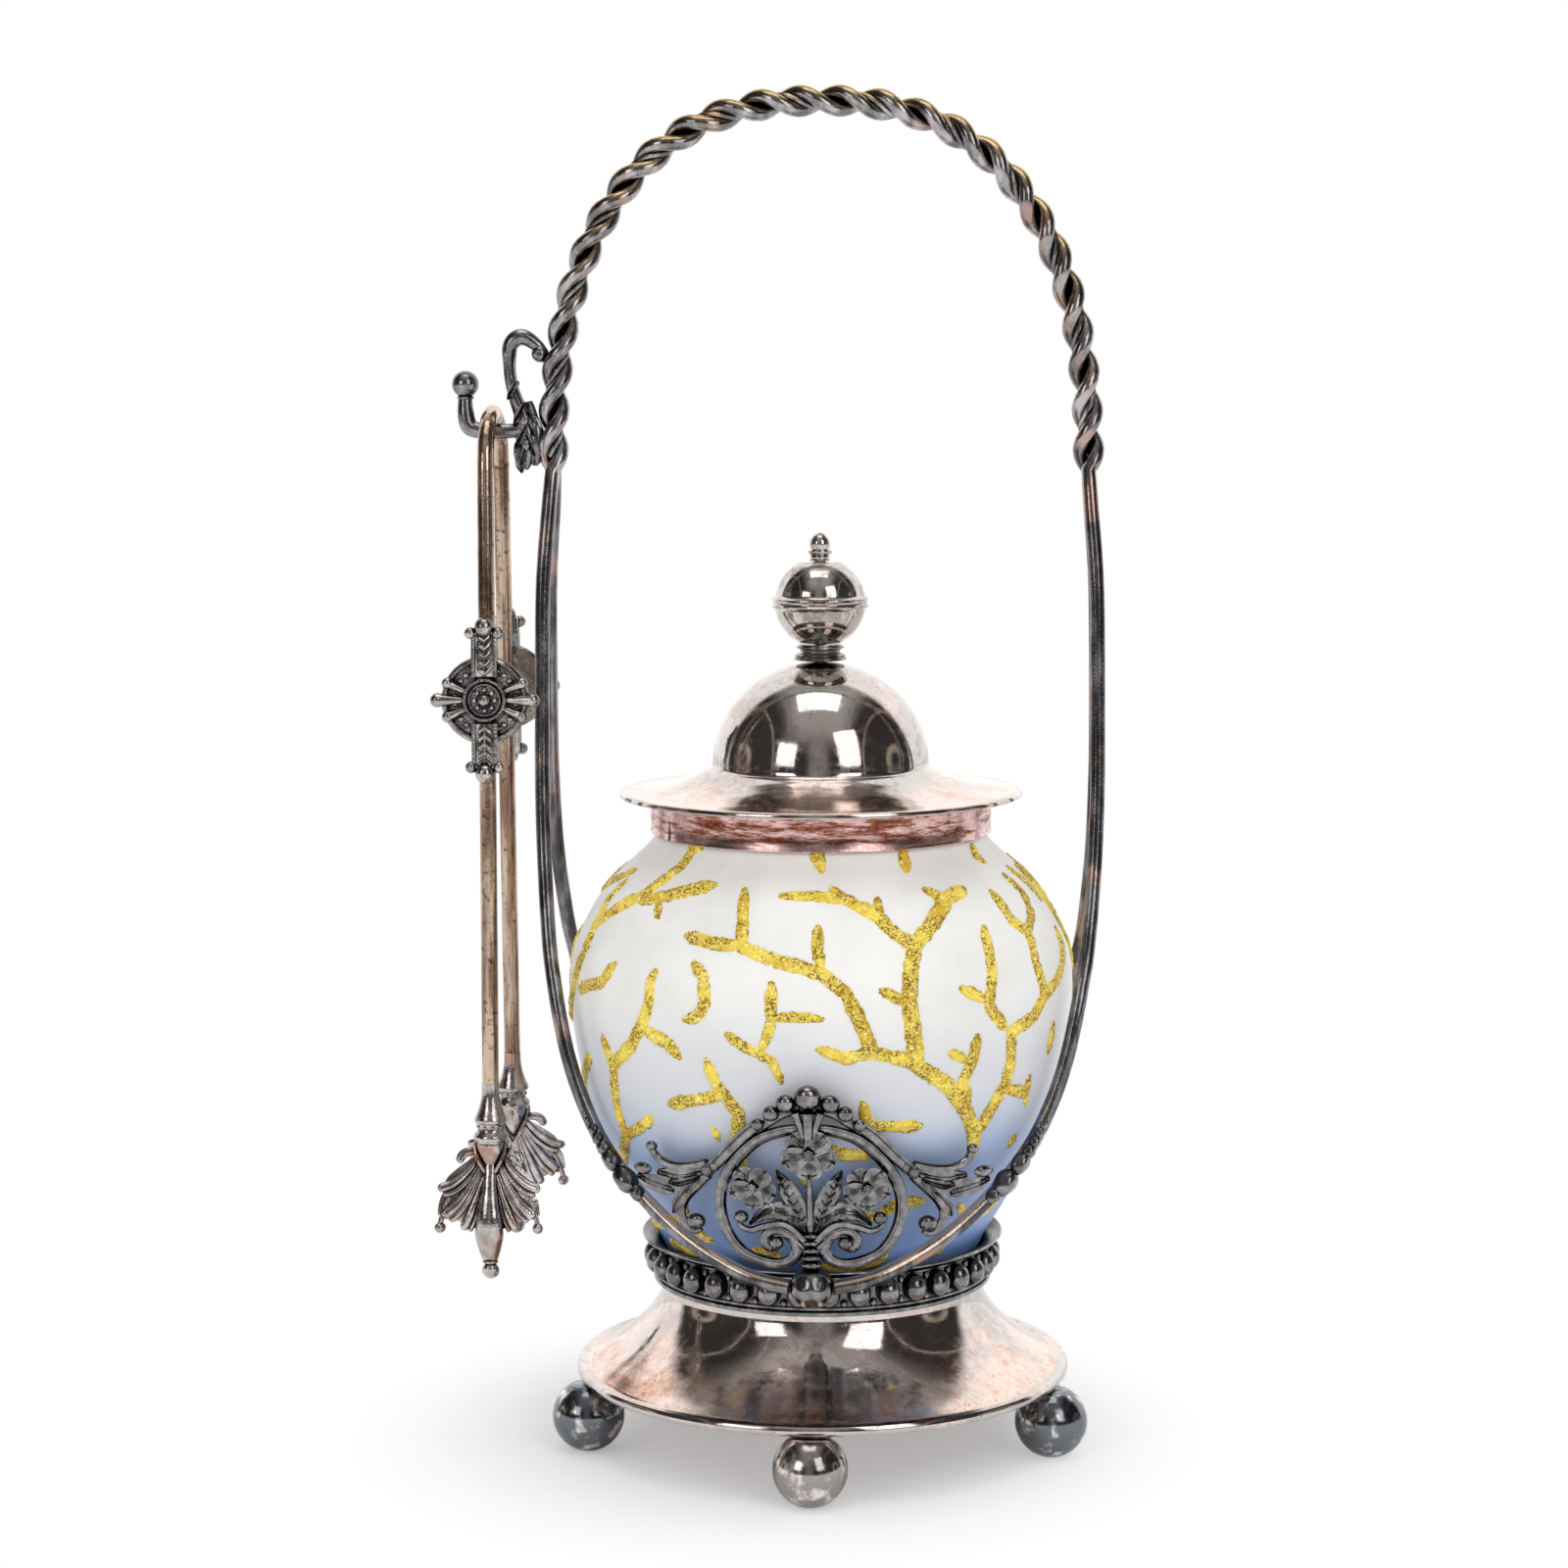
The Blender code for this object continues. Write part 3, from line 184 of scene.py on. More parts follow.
softbox("overhead", (-0.02, -0.10, 1.0), 1.3, 0.78, 0.56, 2.3)
softbox("front_left", (-0.542, -0.774, 0.326), 1.2, 0.42, 0.51, 1.25)
softbox("front_right", (0.508, -0.742, 0.438), 1.2, 0.49, 0.83, 2.3)

table = bmesh.new()
bmesh.ops.create_circle(table, cap_ends=True, segments=64, radius=3.0)
table_mesh = bpy.data.meshes.new("table")
table.to_mesh(table_mesh)
table.free()
floor = bpy.data.objects.new("table", table_mesh)
scene.collection.objects.link(floor)
paper = bpy.data.materials.new("table_paper")
paper.use_nodes = True
paper.node_tree.nodes.clear()
edge = Flow(paper.node_tree)
matt = edge.node("ShaderNodeBsdfDiffuse", values={"Color": (0.90, 0.90, 0.90, 1.0)})
glow = edge.node("ShaderNodeEmission", values={"Color": WHITE, "Strength": 1.0})
direct = edge.node("ShaderNodeLightPath", give="Is Camera Ray")
away = edge.node("ShaderNodeVectorMath", {"operation": "LENGTH"}, {0: edge.node(
    "ShaderNodeTexCoord", give="Object")}, "Value")
# The paper glows white away from the stand, and the glow fades towards its foot: painted shade round the
# foot, laid over the real shadow there.
glow_fading_to_shade = edge.node("ShaderNodeMixShader", values={
    0: direct * 0.32 + ramp(away, 0.045, 0.10) * 0.68, 1: matt, 2: glow})
edge.node("ShaderNodeOutputMaterial", values={"Surface": glow_fading_to_shade})
table_mesh.materials.append(paper)


# Ball feet
# Five hollow balls of dark silver plate, soldered under the base's lip, each with a small flat worn
# where it stands. The plate has gone blue-black, and the front ball is rubbed to a pinkish silver.
MM = 0.001


def eased(rows, steps=6):
    """A smooth run through rows of numbers, with so many steps between each two."""
    run = []
    for span in range(len(rows) - 1):
        before = rows[max(span - 1, 0)]
        start, end = rows[span], rows[span + 1]
        after = rows[min(span + 2, len(rows) - 1)]
        for step in range(steps):
            share = step / steps
            run.append(tuple(0.5 * (2 * b + (c - a) * share + (2 * a - 5 * b + 4 * c - d) * share ** 2
                                    + (3 * b - a - 3 * c + d) * share ** 3)
                             for a, b, c, d in zip(before, start, end, after)))
    run.append(tuple(rows[-1]))
    return run


def spun(outline, sides=96):
    """Spin an outline of radius and height about the upright axis."""
    shape = bmesh.new()
    ring = [shape.verts.new((radius, 0.0, height)) for radius, height in outline]
    edges = [shape.edges.new(pair) for pair in zip(ring, ring[1:])]
    if outline[0][0] > 0.0 or outline[-1][0] > 0.0:
        edges.append(shape.edges.new((ring[-1], ring[0])))
    bmesh.ops.spin(shape, geom=ring + edges, cent=(0.0, 0.0, 0.0), axis=(0.0, 0.0, 1.0), angle=math.tau,
                   steps=sides, use_merge=True)
    bmesh.ops.remove_doubles(shape, verts=shape.verts, dist=0.001)
    return shape


def orb(centre, radius, sides=20, squash=(1.0, 1.0, 1.0)):
    """A ball of millimetres at a point, squashed along the axes."""
    shape = bmesh.new()
    bmesh.ops.create_uvsphere(shape, u_segments=sides, v_segments=sides * 2 // 3, radius=radius,
                              matrix=Matrix.Translation(centre) @ Matrix.Diagonal((*squash, 1.0)))
    return shape


def piece_of(name, shapes, material, body, nodes, place=None, crease=40.0):
    """One piece from shapes in millimetres: gathered, placed, its normals turned outward, shaded, and ridden
    on its body.
    """
    mesh = bpy.data.meshes.new(name)
    whole = bmesh.new()
    for shape in shapes:
        bmesh.ops.recalc_face_normals(shape, faces=shape.faces)
        shape.to_mesh(mesh)
        shape.free()
        whole.from_mesh(mesh)
    stand_at = place or Matrix.Translation(AXIS)
    bmesh.ops.transform(whole, matrix=stand_at @ Matrix.Scale(MM, 4), verts=whole.verts)
    whole.to_mesh(mesh)
    whole.free()
    mesh.shade_smooth()
    mesh.set_sharp_from_angle(angle=math.radians(crease))
    mesh.materials.append(material)
    piece = bpy.data.objects.new(name, mesh)
    scene.collection.objects.link(piece)
    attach(piece, body)
    if nodes:
        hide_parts(*nodes)
    return piece


def open_finish(name):
    """A new finish, and the object's own coordinates to start it from."""
    material = bpy.data.materials.new(name)
    material.use_nodes = True
    material.node_tree.nodes.clear()
    return material, Flow(material.node_tree).node("ShaderNodeTexCoord", give="Object")


def close_finish(spot, values):
    """The surface itself, from the values and flows of its sockets."""
    surface = spot.node("ShaderNodeBsdfPrincipled", values=values)
    spot.node("ShaderNodeOutputMaterial", values={"Surface": surface})


def cloud(spot, scale, detail=4.0, rough=0.55, stretch=None):
    """Noise of about one patch per 1/scale metres; stretch pulls it out along an axis."""
    if stretch:
        spot = spot.node("ShaderNodeMapping", values={"Vector": spot, "Scale": stretch})
    return spot.node("ShaderNodeTexNoise", values={
        "Vector": spot, "Scale": scale, "Detail": detail, "Roughness": rough})


def crossed(spot, scale, detail, rough, one_way, other_way):
    """Streaks that run two ways over each other."""
    one, other = [cloud(spot, scale, detail, rough, way) * 0.5 for way in (one_way, other_way)]
    return one + other


def relief(spot, height, depth):
    """A bump of so many metres from a height between 0 and 1."""
    return spot.node("ShaderNodeBump", values={"Height": height, "Strength": 1.0, "Distance": depth})


def hollows(spot, reach):
    """1 in the open and towards 0 in grooves, seen over a reach in metres."""
    return spot.node("ShaderNodeAmbientOcclusion", {"samples": 6}, {"Distance": reach}, "AO")


def ball_finish(name, plain, rubbed, amount):
    """Mirror-like dark plate with rubbed patches and fine crossed scratches."""
    material, spot = open_finish(name)
    patches = ramp(cloud(spot, 260.0, 5.0), 0.62 - amount, 0.78 - amount)
    scratches = crossed(spot, 900.0, 3.0, 0.6, (1.0, 1.0, 0.06), (0.06, 1.0, 1.0))
    colour = blend(ramp(scratches, 0.42, 0.62), blend(patches, plain, rubbed), blend(patches, plain, WHITE))
    close_finish(spot, {"Base Color": blend(patches * 0.9 + 0.05, plain, colour), "Metallic": 1.0,
                        "Roughness": 0.10 + ramp(scratches, 0.4, 0.7) * 0.16 + patches * 0.05,
                        "Normal": relief(spot, scratches, 0.00004)})
    return material


steel_ball = ball_finish("dark_ball_plate", tint(118, 122, 127), tint(202, 196, 190), 0.13)
pink_ball = ball_finish("rubbed_ball_plate", tint(168, 160, 154), tint(230, 212, 203), 0.14)
FOOT_RADIUS = 7.8
FOOT_HEIGHT = 7.59
FOOT_TOP = 14.285
for number in range(1, 6):
    low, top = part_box(f"ball_foot_{number}")
    middle = (low + top) / 2
    shape = orb((0.0, 0.0, FOOT_HEIGHT), FOOT_RADIUS, 48)
    for level_at, facing in ((0.0, -1.0), (FOOT_TOP, 1.0)):
        everything = shape.verts[:] + shape.edges[:] + shape.faces[:]
        cut = bmesh.ops.bisect_plane(shape, geom=everything, plane_co=(0.0, 0.0, level_at),
                                     plane_no=(0.0, 0.0, facing), clear_outer=True)
        bmesh.ops.contextual_create(shape, geom=[item for item in cut["geom_cut"]
                                                 if isinstance(item, bmesh.types.BMEdge)])
    piece_of(f"foot_{number}", [shape], pink_ball if number == 1 else steel_ball, "stand",
             [f"ball_foot_{number}"], Matrix.Translation((middle.x, middle.y, 0.0)))


# Spun base
# A round shell of white metal, spun over a former to a waisted neck and a wide flare, its edge rolled
# outwards. The silver has gone from the flare, where pink copper and brown specks show.
def off_axis(spot):
    """The level vector from the stand's upright axis."""
    return spot.node("ShaderNodeVectorMath", {"operation": "MULTIPLY_ADD"}, {
        0: spot, 1: (1.0, 1.0, 0.0), 2: (-AXIS.x, 0.0, 0.0)})


def worn_plate(name, bare_from, bare_to, stain, tarnish, edge_at=1.0):
    """Bright plate whose silver is rubbed through to copper between two radii, in metres."""
    material, spot = open_finish(name)
    out = spot.node("ShaderNodeVectorMath", {"operation": "LENGTH"}, {0: off_axis(spot)}, "Value")
    patches = cloud(spot, 75.0, 6.0, 0.62)
    grain = cloud(spot, 700.0, 5.0, 0.7)
    specks = ramp(cloud(spot, 1300.0, 4.0, 0.7), 0.56, 0.66) * ramp(cloud(spot, 110.0, 5.0), 0.46, 0.58)
    bare = ramp(out + (patches - 0.5) * 0.05, bare_from, bare_to) * ramp(out, edge_at + 0.0004, edge_at)
    stale = (1.0 - bare * 0.65) * tarnish
    blush = ramp(cloud(spot, 60.0, 5.0, 0.6), 0.38, 0.62)
    silver = blend(blush, tint(204, 200, 194), tint(233, 216, 211))
    copper = blend(ramp(grain, 0.35, 0.65), tint(238, 204, 186), tint(250, 230, 219))
    rust = ramp(cloud(spot, 48.0, 7.0, 0.68), 0.50, 0.62) * bare * stain
    rusty = blend(ramp(grain, 0.3, 0.7), tint(186, 122, 84), tint(226, 172, 136))
    aged = blend(rust * 0.85, blend(bare * 0.85, silver, copper), rusty)
    dulled = blend(ramp(cloud(spot, 120.0, 7.0, 0.68), 0.47, 0.58) * stale, aged, tint(136, 128, 120))
    mottled = (ramp(cloud(spot, 480.0, 6.0, 0.72), 0.48, 0.60)
               * ramp(cloud(spot, 90.0, 3.0), 0.40, 0.56) * stale)
    spotted = blend(mottled * 0.7, dulled, tint(118, 104, 98))
    stained = blend(specks * (bare * 0.5 + 0.5) * stain, spotted, tint(104, 72, 58))
    scratches = crossed(spot, 520.0, 2.0, 0.5, (1.0, 0.12, 1.0), (0.12, 1.0, 1.0))
    dullness = bare * 0.06 + mottled * 0.12 + specks * 0.15 + ramp(scratches, 0.50, 0.6) * 0.07
    close_finish(spot, {"Base Color": stained, "Metallic": 1.0, "Roughness": 0.07 + dullness,
                        "Normal": relief(spot, scratches + grain * bare, 0.000015)})
    return material


NECK_RADIUS = 34.8
NECK_HEIGHT = 34.985
LIP_RADIUS = 53.9
SHELL_WALL = 0.9
base_plate = worn_plate("base_silver_plate", 0.037, 0.049, 0.72, 0.30, 0.0512)
flare = eased([(NECK_RADIUS, NECK_HEIGHT), (34.95, 33.2), (36.15, 30.2), (38.9, 26.2), (43.1, 22.2),
               (47.6, 18.9), (50.9, 16.9)], 5)
lip = [(51.5, 16.55), (52.4, 16.5), (52.9, 16.75), (53.5, 16.7), (LIP_RADIUS, 16.1), (LIP_RADIUS, 15.3),
       (53.5, 14.75), (52.8, 14.585), (50.6, 14.6), (50.3, 15.2)]
inner = [(radius - SHELL_WALL, height - SHELL_WALL) for radius, height in flare[::-4]]
base_outline = [(0.0, NECK_HEIGHT)] + flare + lip + inner + [(0.0, 33.9)]
piece_of("base_shell_spun", [spun(base_outline)], base_plate, "stand", ["base_shell"])


# Gallery
# A cast and plated ring soldered on the base, with a rolled foot, a band of oval beads with small
# lozenges between them, and a thin turned-out rim. It is tarnished dark, with bright high spots.
def cast_plate(name, deep, worn, shine, reach=0.0014, blush=None, flat_face=False):
    """Cast plate, black in its grooves and on its edges, and rubbed bright on its outer faces."""
    material, spot = open_finish(name)
    proud = hollows(spot, reach)
    mottle = cloud(spot, 420.0, 5.0, 0.6)
    facing = spot.node("ShaderNodeNewGeometry", give="Normal")
    outward = spot.node("ShaderNodeVectorMath", {"operation": "NORMALIZE"}, {0: off_axis(spot)})
    outer = abs(part_of(facing, "Y")) if flat_face else spot.node(
        "ShaderNodeVectorMath", {"operation": "DOT_PRODUCT"}, {0: facing, 1: outward}, "Value")
    rub = ramp(proud + (mottle - 0.5) * 0.15, 0.46, 0.92) * (ramp(outer, 0.05, 0.75) * 0.72 + 0.28)
    bright = blend(ramp(mottle, 0.32, 0.82), worn, shine)
    if blush:
        bright = blend(ramp(cloud(spot, 130.0, 4.0), 0.50, 0.64) * 0.8, bright, blush)
    pits = cloud(spot, 1700.0, 3.0, 0.6)
    close_finish(spot, {"Base Color": blend(rub, deep, bright), "Metallic": 1.0,
                        "Roughness": 0.18 - rub * 0.10 + ramp(pits, 0.54, 0.75) * 0.10,
                        "Normal": relief(spot, pits, 0.00005)})
    return material


BAND_RADIUS = 36.2
WELL_RADIUS = 30.5
RIM_INSIDE = 35.3
SHELF_LOW, SHELF_TOP = 35.285, 37.085
BEADS = 36
BEAD_REACH = 36.9
BEAD_HEIGHT = 40.25
BEAD_RADIUS = 2.5
LOZENGE_REACH = 36.4
LOZENGE_RADIUS = 0.75
dark_cast = cast_plate("tarnished_cast_plate", tint(26, 27, 30), tint(112, 111, 113), tint(176, 173, 173))
rolled_foot = [(36.3, 35.3), (36.85, 35.5), (37.0, 35.9), (36.9, 36.35), (36.5, 36.6), (36.65, 36.85),
               (36.6, 37.2), (BAND_RADIUS, 37.35)]
turned_rim = [(BAND_RADIUS, 43.2), (36.6, 43.35), (36.7, 43.7), (36.5, 43.95), (36.9, 44.3), (38.0, 44.75),
              (38.9, 44.95), (39.3, 45.15), (39.35, 45.45), (39.1, 45.685), (38.5, 45.6), (37.4, 45.1),
              (35.9, 44.3), (RIM_INSIDE, 43.4)]
shelf = [(RIM_INSIDE, SHELF_TOP), (WELL_RADIUS, SHELF_TOP), (WELL_RADIUS, SHELF_LOW)]
piece_of("gallery_ring_cast", [spun(shelf + rolled_foot + turned_rim, 144)], dark_cast, "stand",
         ["gallery_ring"])
beads = []
for index in range(BEADS):
    for shape, turn in (
            (orb((0.0, -BEAD_REACH, BEAD_HEIGHT), BEAD_RADIUS, 16, (1.0, 0.88, 1.12)), index + 0.5),
            (orb((0.0, -LOZENGE_REACH, 38.1), LOZENGE_RADIUS, 8, (1.0, 0.8, 1.2)), index + 1.0),
            (orb((0.0, -LOZENGE_REACH, 42.4), LOZENGE_RADIUS, 8, (1.0, 0.8, 1.2)), index + 1.0)):
        bmesh.ops.transform(shape, matrix=Matrix.Rotation(math.tau * turn / BEADS, 4, "Z"), verts=shape.verts)
        beads.append(shape)
piece_of("gallery_bead_band", beads, dark_cast, "stand", ["gallery_beads"])


# Bosses
# A cast ball of three rounded lobes at the front and one behind, soldered to the gallery's rim. The
# rods of the bail meet at them, and the flower ornament stands on them.
FRONT = Matrix.Translation(AXIS)
REAR = Matrix.Translation(AXIS) @ Matrix.Rotation(math.pi, 4, "Z")
BOSS_REACH = 44.095
BOSS_HEIGHT = 43.785
BOSS_RADIUS = 4.5


def boss_ball():
    """A ball with two dimples above and a crease between its lower lobes."""
    shape = orb((0.0, 0.0, 0.0), BOSS_RADIUS, 40)
    for vert in shape.verts:
        sunk = 0.0
        for dent in (Vector((-1.9, -3.7, 1.5)), Vector((1.9, -3.7, 1.5)), Vector((0.0, -3.6, -2.7))):
            sunk += math.exp(-((vert.co - dent).length / 1.25) ** 2)
        vert.co *= 1.0 - 0.07 * sunk
    bmesh.ops.translate(shape, verts=shape.verts, vec=(0.0, -BOSS_REACH, BOSS_HEIGHT))
    return shape


for which, place in (("front", FRONT), ("back", REAR)):
    piece_of(f"boss_{which}_ball", [boss_ball()], dark_cast, "stand", [f"boss_{which}"], place)


# Bail
# Two rods of plated wire, one up the front and one up the back, spread round the jar and laid up
# together over the top like a rope of thirteen turns, with a thin wire in each groove of the lay.
ROD_RADIUS = 1.6
LAY_RADIUS = 1.8
TURNS = 13
ARCH_FOOT = Vector((57.32, 0.0, 211.13))
ARCH_RISE = 77.9
ARCH_POWER = 2 / 2.4
LEG_HALF = 59.4
FILLER_RADIUS = 0.58
FILLER_LAY = 1.53
leg_rows = [(4.8, -BOSS_REACH, BOSS_HEIGHT)] + [
    (LEG_HALF * wide, -BOSS_REACH * deep, BOSS_HEIGHT + (ARCH_FOOT.z - BOSS_HEIGHT) * rise)
    for wide, rise, deep in (
        (0.233, 0.012, 0.964), (0.438, 0.047, 0.839), (0.628, 0.101, 0.703), (0.761, 0.157, 0.600),
        (0.839, 0.211, 0.545), (0.886, 0.260, 0.520), (0.918, 0.308, 0.490), (0.944, 0.356, 0.440),
        (0.966, 0.404, 0.370), (0.990, 0.501, 0.255), (1.000, 0.601, 0.200), (1.000, 0.701, 0.165),
        (0.995, 0.851, 0.135), (0.975, 0.951, 0.095))] + [(ARCH_FOOT.x, -LAY_RADIUS, ARCH_FOOT.z)]


def tube(points, radii, rounds=4, flat=1.0):
    """A round bar along points, as thick as its radii; flat squeezes it front to back."""
    curve = bpy.data.curves.new("bar", "CURVE")
    curve.dimensions = "3D"
    curve.bevel_depth = 1.0
    curve.bevel_resolution = rounds
    curve.use_fill_caps = True
    spline = curve.splines.new("POLY")
    spline.points.add(len(points) - 1)
    for spot, point, radius in zip(spline.points, points, radii):
        spot.co = (*point, 1.0)
        spot.radius = radius
    holder = bpy.data.objects.new("bar", curve)
    scene.collection.objects.link(holder)
    mesh = bpy.data.meshes.new_from_object(holder)
    shape = bmesh.new()
    shape.from_mesh(mesh)
    bmesh.ops.remove_doubles(shape, verts=shape.verts, dist=0.0005)
    bpy.data.objects.remove(holder)
    bpy.data.curves.remove(curve)
    bpy.data.meshes.remove(mesh)
    if flat != 1.0:
        bmesh.ops.scale(shape, vec=(1.0, flat, 1.0), verts=shape.verts)
    return shape


def arch_points(count):
    """Even points of the squarish arch, from its left foot to its right."""
    fine = []
    for step in range(count * 6 + 1):
        turn = math.pi * step / (count * 6)
        wide = -math.copysign(abs(math.cos(turn)) ** ARCH_POWER, math.cos(turn))
        high = abs(math.sin(turn)) ** ARCH_POWER
        fine.append(Vector((ARCH_FOOT.x * wide, 0.0, ARCH_FOOT.z + ARCH_RISE * high)))
    gone = [0.0]
    for first, second in zip(fine, fine[1:]):
        gone.append(gone[-1] + (second - first).length)
    even = []
    at = 0
    for step in range(count + 1):
        wanted = gone[-1] * step / count
        while at < len(fine) - 2 and gone[at + 1] < wanted:
            at += 1
        even.append(fine[at].lerp(fine[at + 1], (wanted - gone[at]) / (gone[at + 1] - gone[at])))
    return even


def laid(radius, offset, first, last):
    """Points of a strand laid round the arch at a radius, turned on by an offset, between two shares."""
    count = TURNS * 16
    arch = arch_points(count)
    run = []
    for index, point in enumerate(arch):
        if not first <= index / count <= last:
            continue
        step = arch[min(index + 1, count)] - arch[max(index - 1, 0)]
        outward = Vector((-step.z, 0.0, step.x)).normalized()
        turn = -math.tau * TURNS * index / count - math.pi / 2 + offset
        run.append(point + radius * (math.cos(turn) * outward + math.sin(turn) * Vector((0.0, 1.0, 0.0))))
    return run


def rod_finish():
    """Dark plate with patches of pink copper, and painted highlights on its upward faces: brass on the rope
    and pale peach on the low legs.
    """
    material, spot = open_finish("bail_rod_plate")
    height = part_of(spot, "Z")
    facing_up = part_of(spot.node("ShaderNodeNewGeometry", give="Normal"), "Z")
    mottle = cloud(spot, 240.0, 5.0, 0.6, (1.0, 1.0, 0.3))
    proud = hollows(spot, 0.0018)
    patchy = ramp(mottle, 0.40, 0.66)
    steel = blend(ramp(height, 0.190, 0.215), blend(patchy, tint(84, 84, 88), tint(152, 150, 153)),
                  blend(patchy, tint(124, 121, 122), tint(196, 192, 192)))
    copper = blend(ramp(cloud(spot, 90.0, 5.0), 0.54, 0.66) * 0.6, steel, tint(200, 164, 148))
    # Painted highlight: brass colour on the upward faces of the rope, where warm light from above falls.
    rope_top_painted_highlight = ramp(height, 0.225, 0.272) * ramp(facing_up + mottle * 0.5, 0.35, 0.95)
    with_rope_top_highlight = blend(rope_top_painted_highlight * 0.85, copper, tint(186, 156, 104))
    # Painted highlight: pale peach on the upward faces of the low legs.
    leg_top_painted_highlight = (1.0 - ramp(height, 0.060, 0.075)) * ramp(facing_up + mottle * 0.3, 0.25, 0.8)
    # rubbed holds the copper patches with both painted highlights laid over them.
    rubbed = blend(leg_top_painted_highlight * 0.9, with_rope_top_highlight, tint(250, 222, 198))
    colour = blend(ramp(proud + (mottle - 0.5) * 0.25, 0.30, 0.85), tint(40, 40, 42), rubbed)
    grain = cloud(spot, 1300.0, 3.0, 0.6)
    close_finish(spot, {"Base Color": colour, "Metallic": 1.0,
                        "Roughness": 0.11 + ramp(mottle, 0.5, 0.7) * 0.10 + grain * 0.06,
                        "Normal": relief(spot, grain, 0.00004)})
    return material


rod_plate = rod_finish()
right_leg = [Vector(row) for row in eased(leg_rows, 5)]
left_leg = [Vector((-point.x, point.y, point.z)) for point in right_leg]
rod_route = left_leg[:-1] + laid(LAY_RADIUS, 0.0, 0.0, 1.0) + right_leg[::-1][1:]
for which, place in (("front", FRONT), ("back", REAR)):
    rod = tube(rod_route, [ROD_RADIUS] * len(rod_route), 5)
    piece_of(f"bail_rod_{which}_wire", [rod], rod_plate, "stand", [f"bail_rod_{which}"], place)
    groove = laid(FILLER_LAY, math.pi / 2, 0.012, 0.988)
    filler = tube(groove, [FILLER_RADIUS] * len(groove), 2)
    piece_of(f"bail_filler_{which}_wire", [filler], rod_plate, "stand", [], place)


# Flower ornaments
# A pierced casting on the front boss and its twin behind, bent to follow the jar: a banded scroll with
# a crest of balls, three flowers and their leaves inside it, and a leafy wing at each side.
ORNAMENT_HALF = 18.7
ORNAMENT_LOW = 49.385
ORNAMENT_TALL = 30.0
ORNAMENT_LEAN = (54.9 - BOSS_REACH) / 35.6
SCROLL = ((0.38, 0.135), (0.46, 0.115), (0.50, 0.17), (0.44, 0.225), (0.33, 0.235), (0.20, 0.185),
          (0.15, 0.09), (0.25, 0.01), (0.45, -0.01), (0.75, 0.06), (0.93, 0.21), (1.0, 0.395),
          (0.96, 0.575), (0.80, 0.755), (0.55, 0.915), (0.25, 0.99), (0.0, 1.0))
# Bars at each side: rows of width share, height share and radius, then what drawn takes
SIDE_BARS = (
    ([(wide, high, 1.3) for wide, high in SCROLL], 0.0, 2, 0.75),
    ([(wide, high, 0.72) for wide, high in SCROLL], 0.55, 2, 0.8),
    ([(0.53, 1.03, 1.15), (0.72, 0.92, 1.1), (0.95, 0.76, 1.15), (1.12, 0.66, 1.3)], 0.2, 2, 0.8),
    ([(0.56, 1.06, 0.4), (0.76, 0.95, 0.4), (0.98, 0.79, 0.4), (1.12, 0.69, 0.35)], 0.9, 2),
    ([(0.0, 1.16, 1.3), (0.26, 1.12, 1.2), (0.43, 1.05, 1.1), (0.58, 0.97, 1.0)], -0.2, 2, 0.7),
    ([(0.055, 0.95, 0.6), (0.085, 1.04, 0.75), (0.135, 1.13, 0.95)], 1.3),
    ([(0.04, 0.15, 0.9), (0.26, 0.285, 0.95), (0.50, 0.27, 0.85), (0.66, 0.235, 0.75), (0.78, 0.27, 0.6),
      (0.76, 0.33, 0.4)], 0.2),
    ([(0.06, 0.10, 0.6), (0.24, 0.20, 0.6), (0.40, 0.20, 0.3)], 0.5, 2),
    ([(0.02, 0.22, 0.6), (0.34, 0.40, 0.55), (0.61, 0.50, 0.5)], 0.0, 2),
    ([(1.12, 0.71, 1.15), (1.34, 0.665, 1.15), (1.54, 0.657, 1.05), (1.69, 0.70, 0.85), (1.765, 0.765, 0.75)],
     0.5, 3, 0.9),
    ([(1.13, 0.63, 1.25), (1.29, 0.53, 1.5), (1.415, 0.42, 1.3), (1.46, 0.31, 1.05), (1.39, 0.215, 0.85),
      (1.30, 0.175, 0.7), (1.22, 0.20, 0.5)], 0.3, 3, 0.85))
# Leaves at each side: rows of width share, height share and half width, then what leaf takes
SIDE_LEAVES = (
    ([(0.03, 0.24, 0.7), (0.14, 0.42, 1.9), (0.26, 0.58, 1.6), (0.36, 0.70, 0.15)], 0.1, 0.5, 9, 0.12),
    ([(0.05, 0.22, 0.7), (0.22, 0.37, 1.9), (0.44, 0.40, 1.8), (0.66, 0.30, 0.2)],
     0.2, 0.5, 6, 0.35, 0.7, 0.4),
    ([(1.14, 0.66, 0.8), (1.28, 0.625, 1.5), (1.46, 0.60, 1.75), (1.66, 0.61, 0.5)],
     1.1, 0.35, 0, 0.0, 0.8, 0.3),
    ([(1.20, 0.61, 0.5), (1.30, 0.57, 1.2), (1.42, 0.54, 1.3), (1.52, 0.55, 0.4)],
     1.5, 0.4, 0, 0.0, 0.6, 0.2),
    ([(1.50, 0.49, 0.4), (1.60, 0.50, 1.35), (1.71, 0.512, 1.55), (1.82, 0.525, 1.3), (1.91, 0.55, 0.3)],
     0.9, 0.35, 0, 0.0, 0.9, 0.2),
    ([(1.27, 0.56, 0.4), (1.38, 0.47, 0.9), (1.47, 0.38, 0.9), (1.50, 0.32, 0.2)],
     1.4, 0.4, 0, 0.0, 0.6))
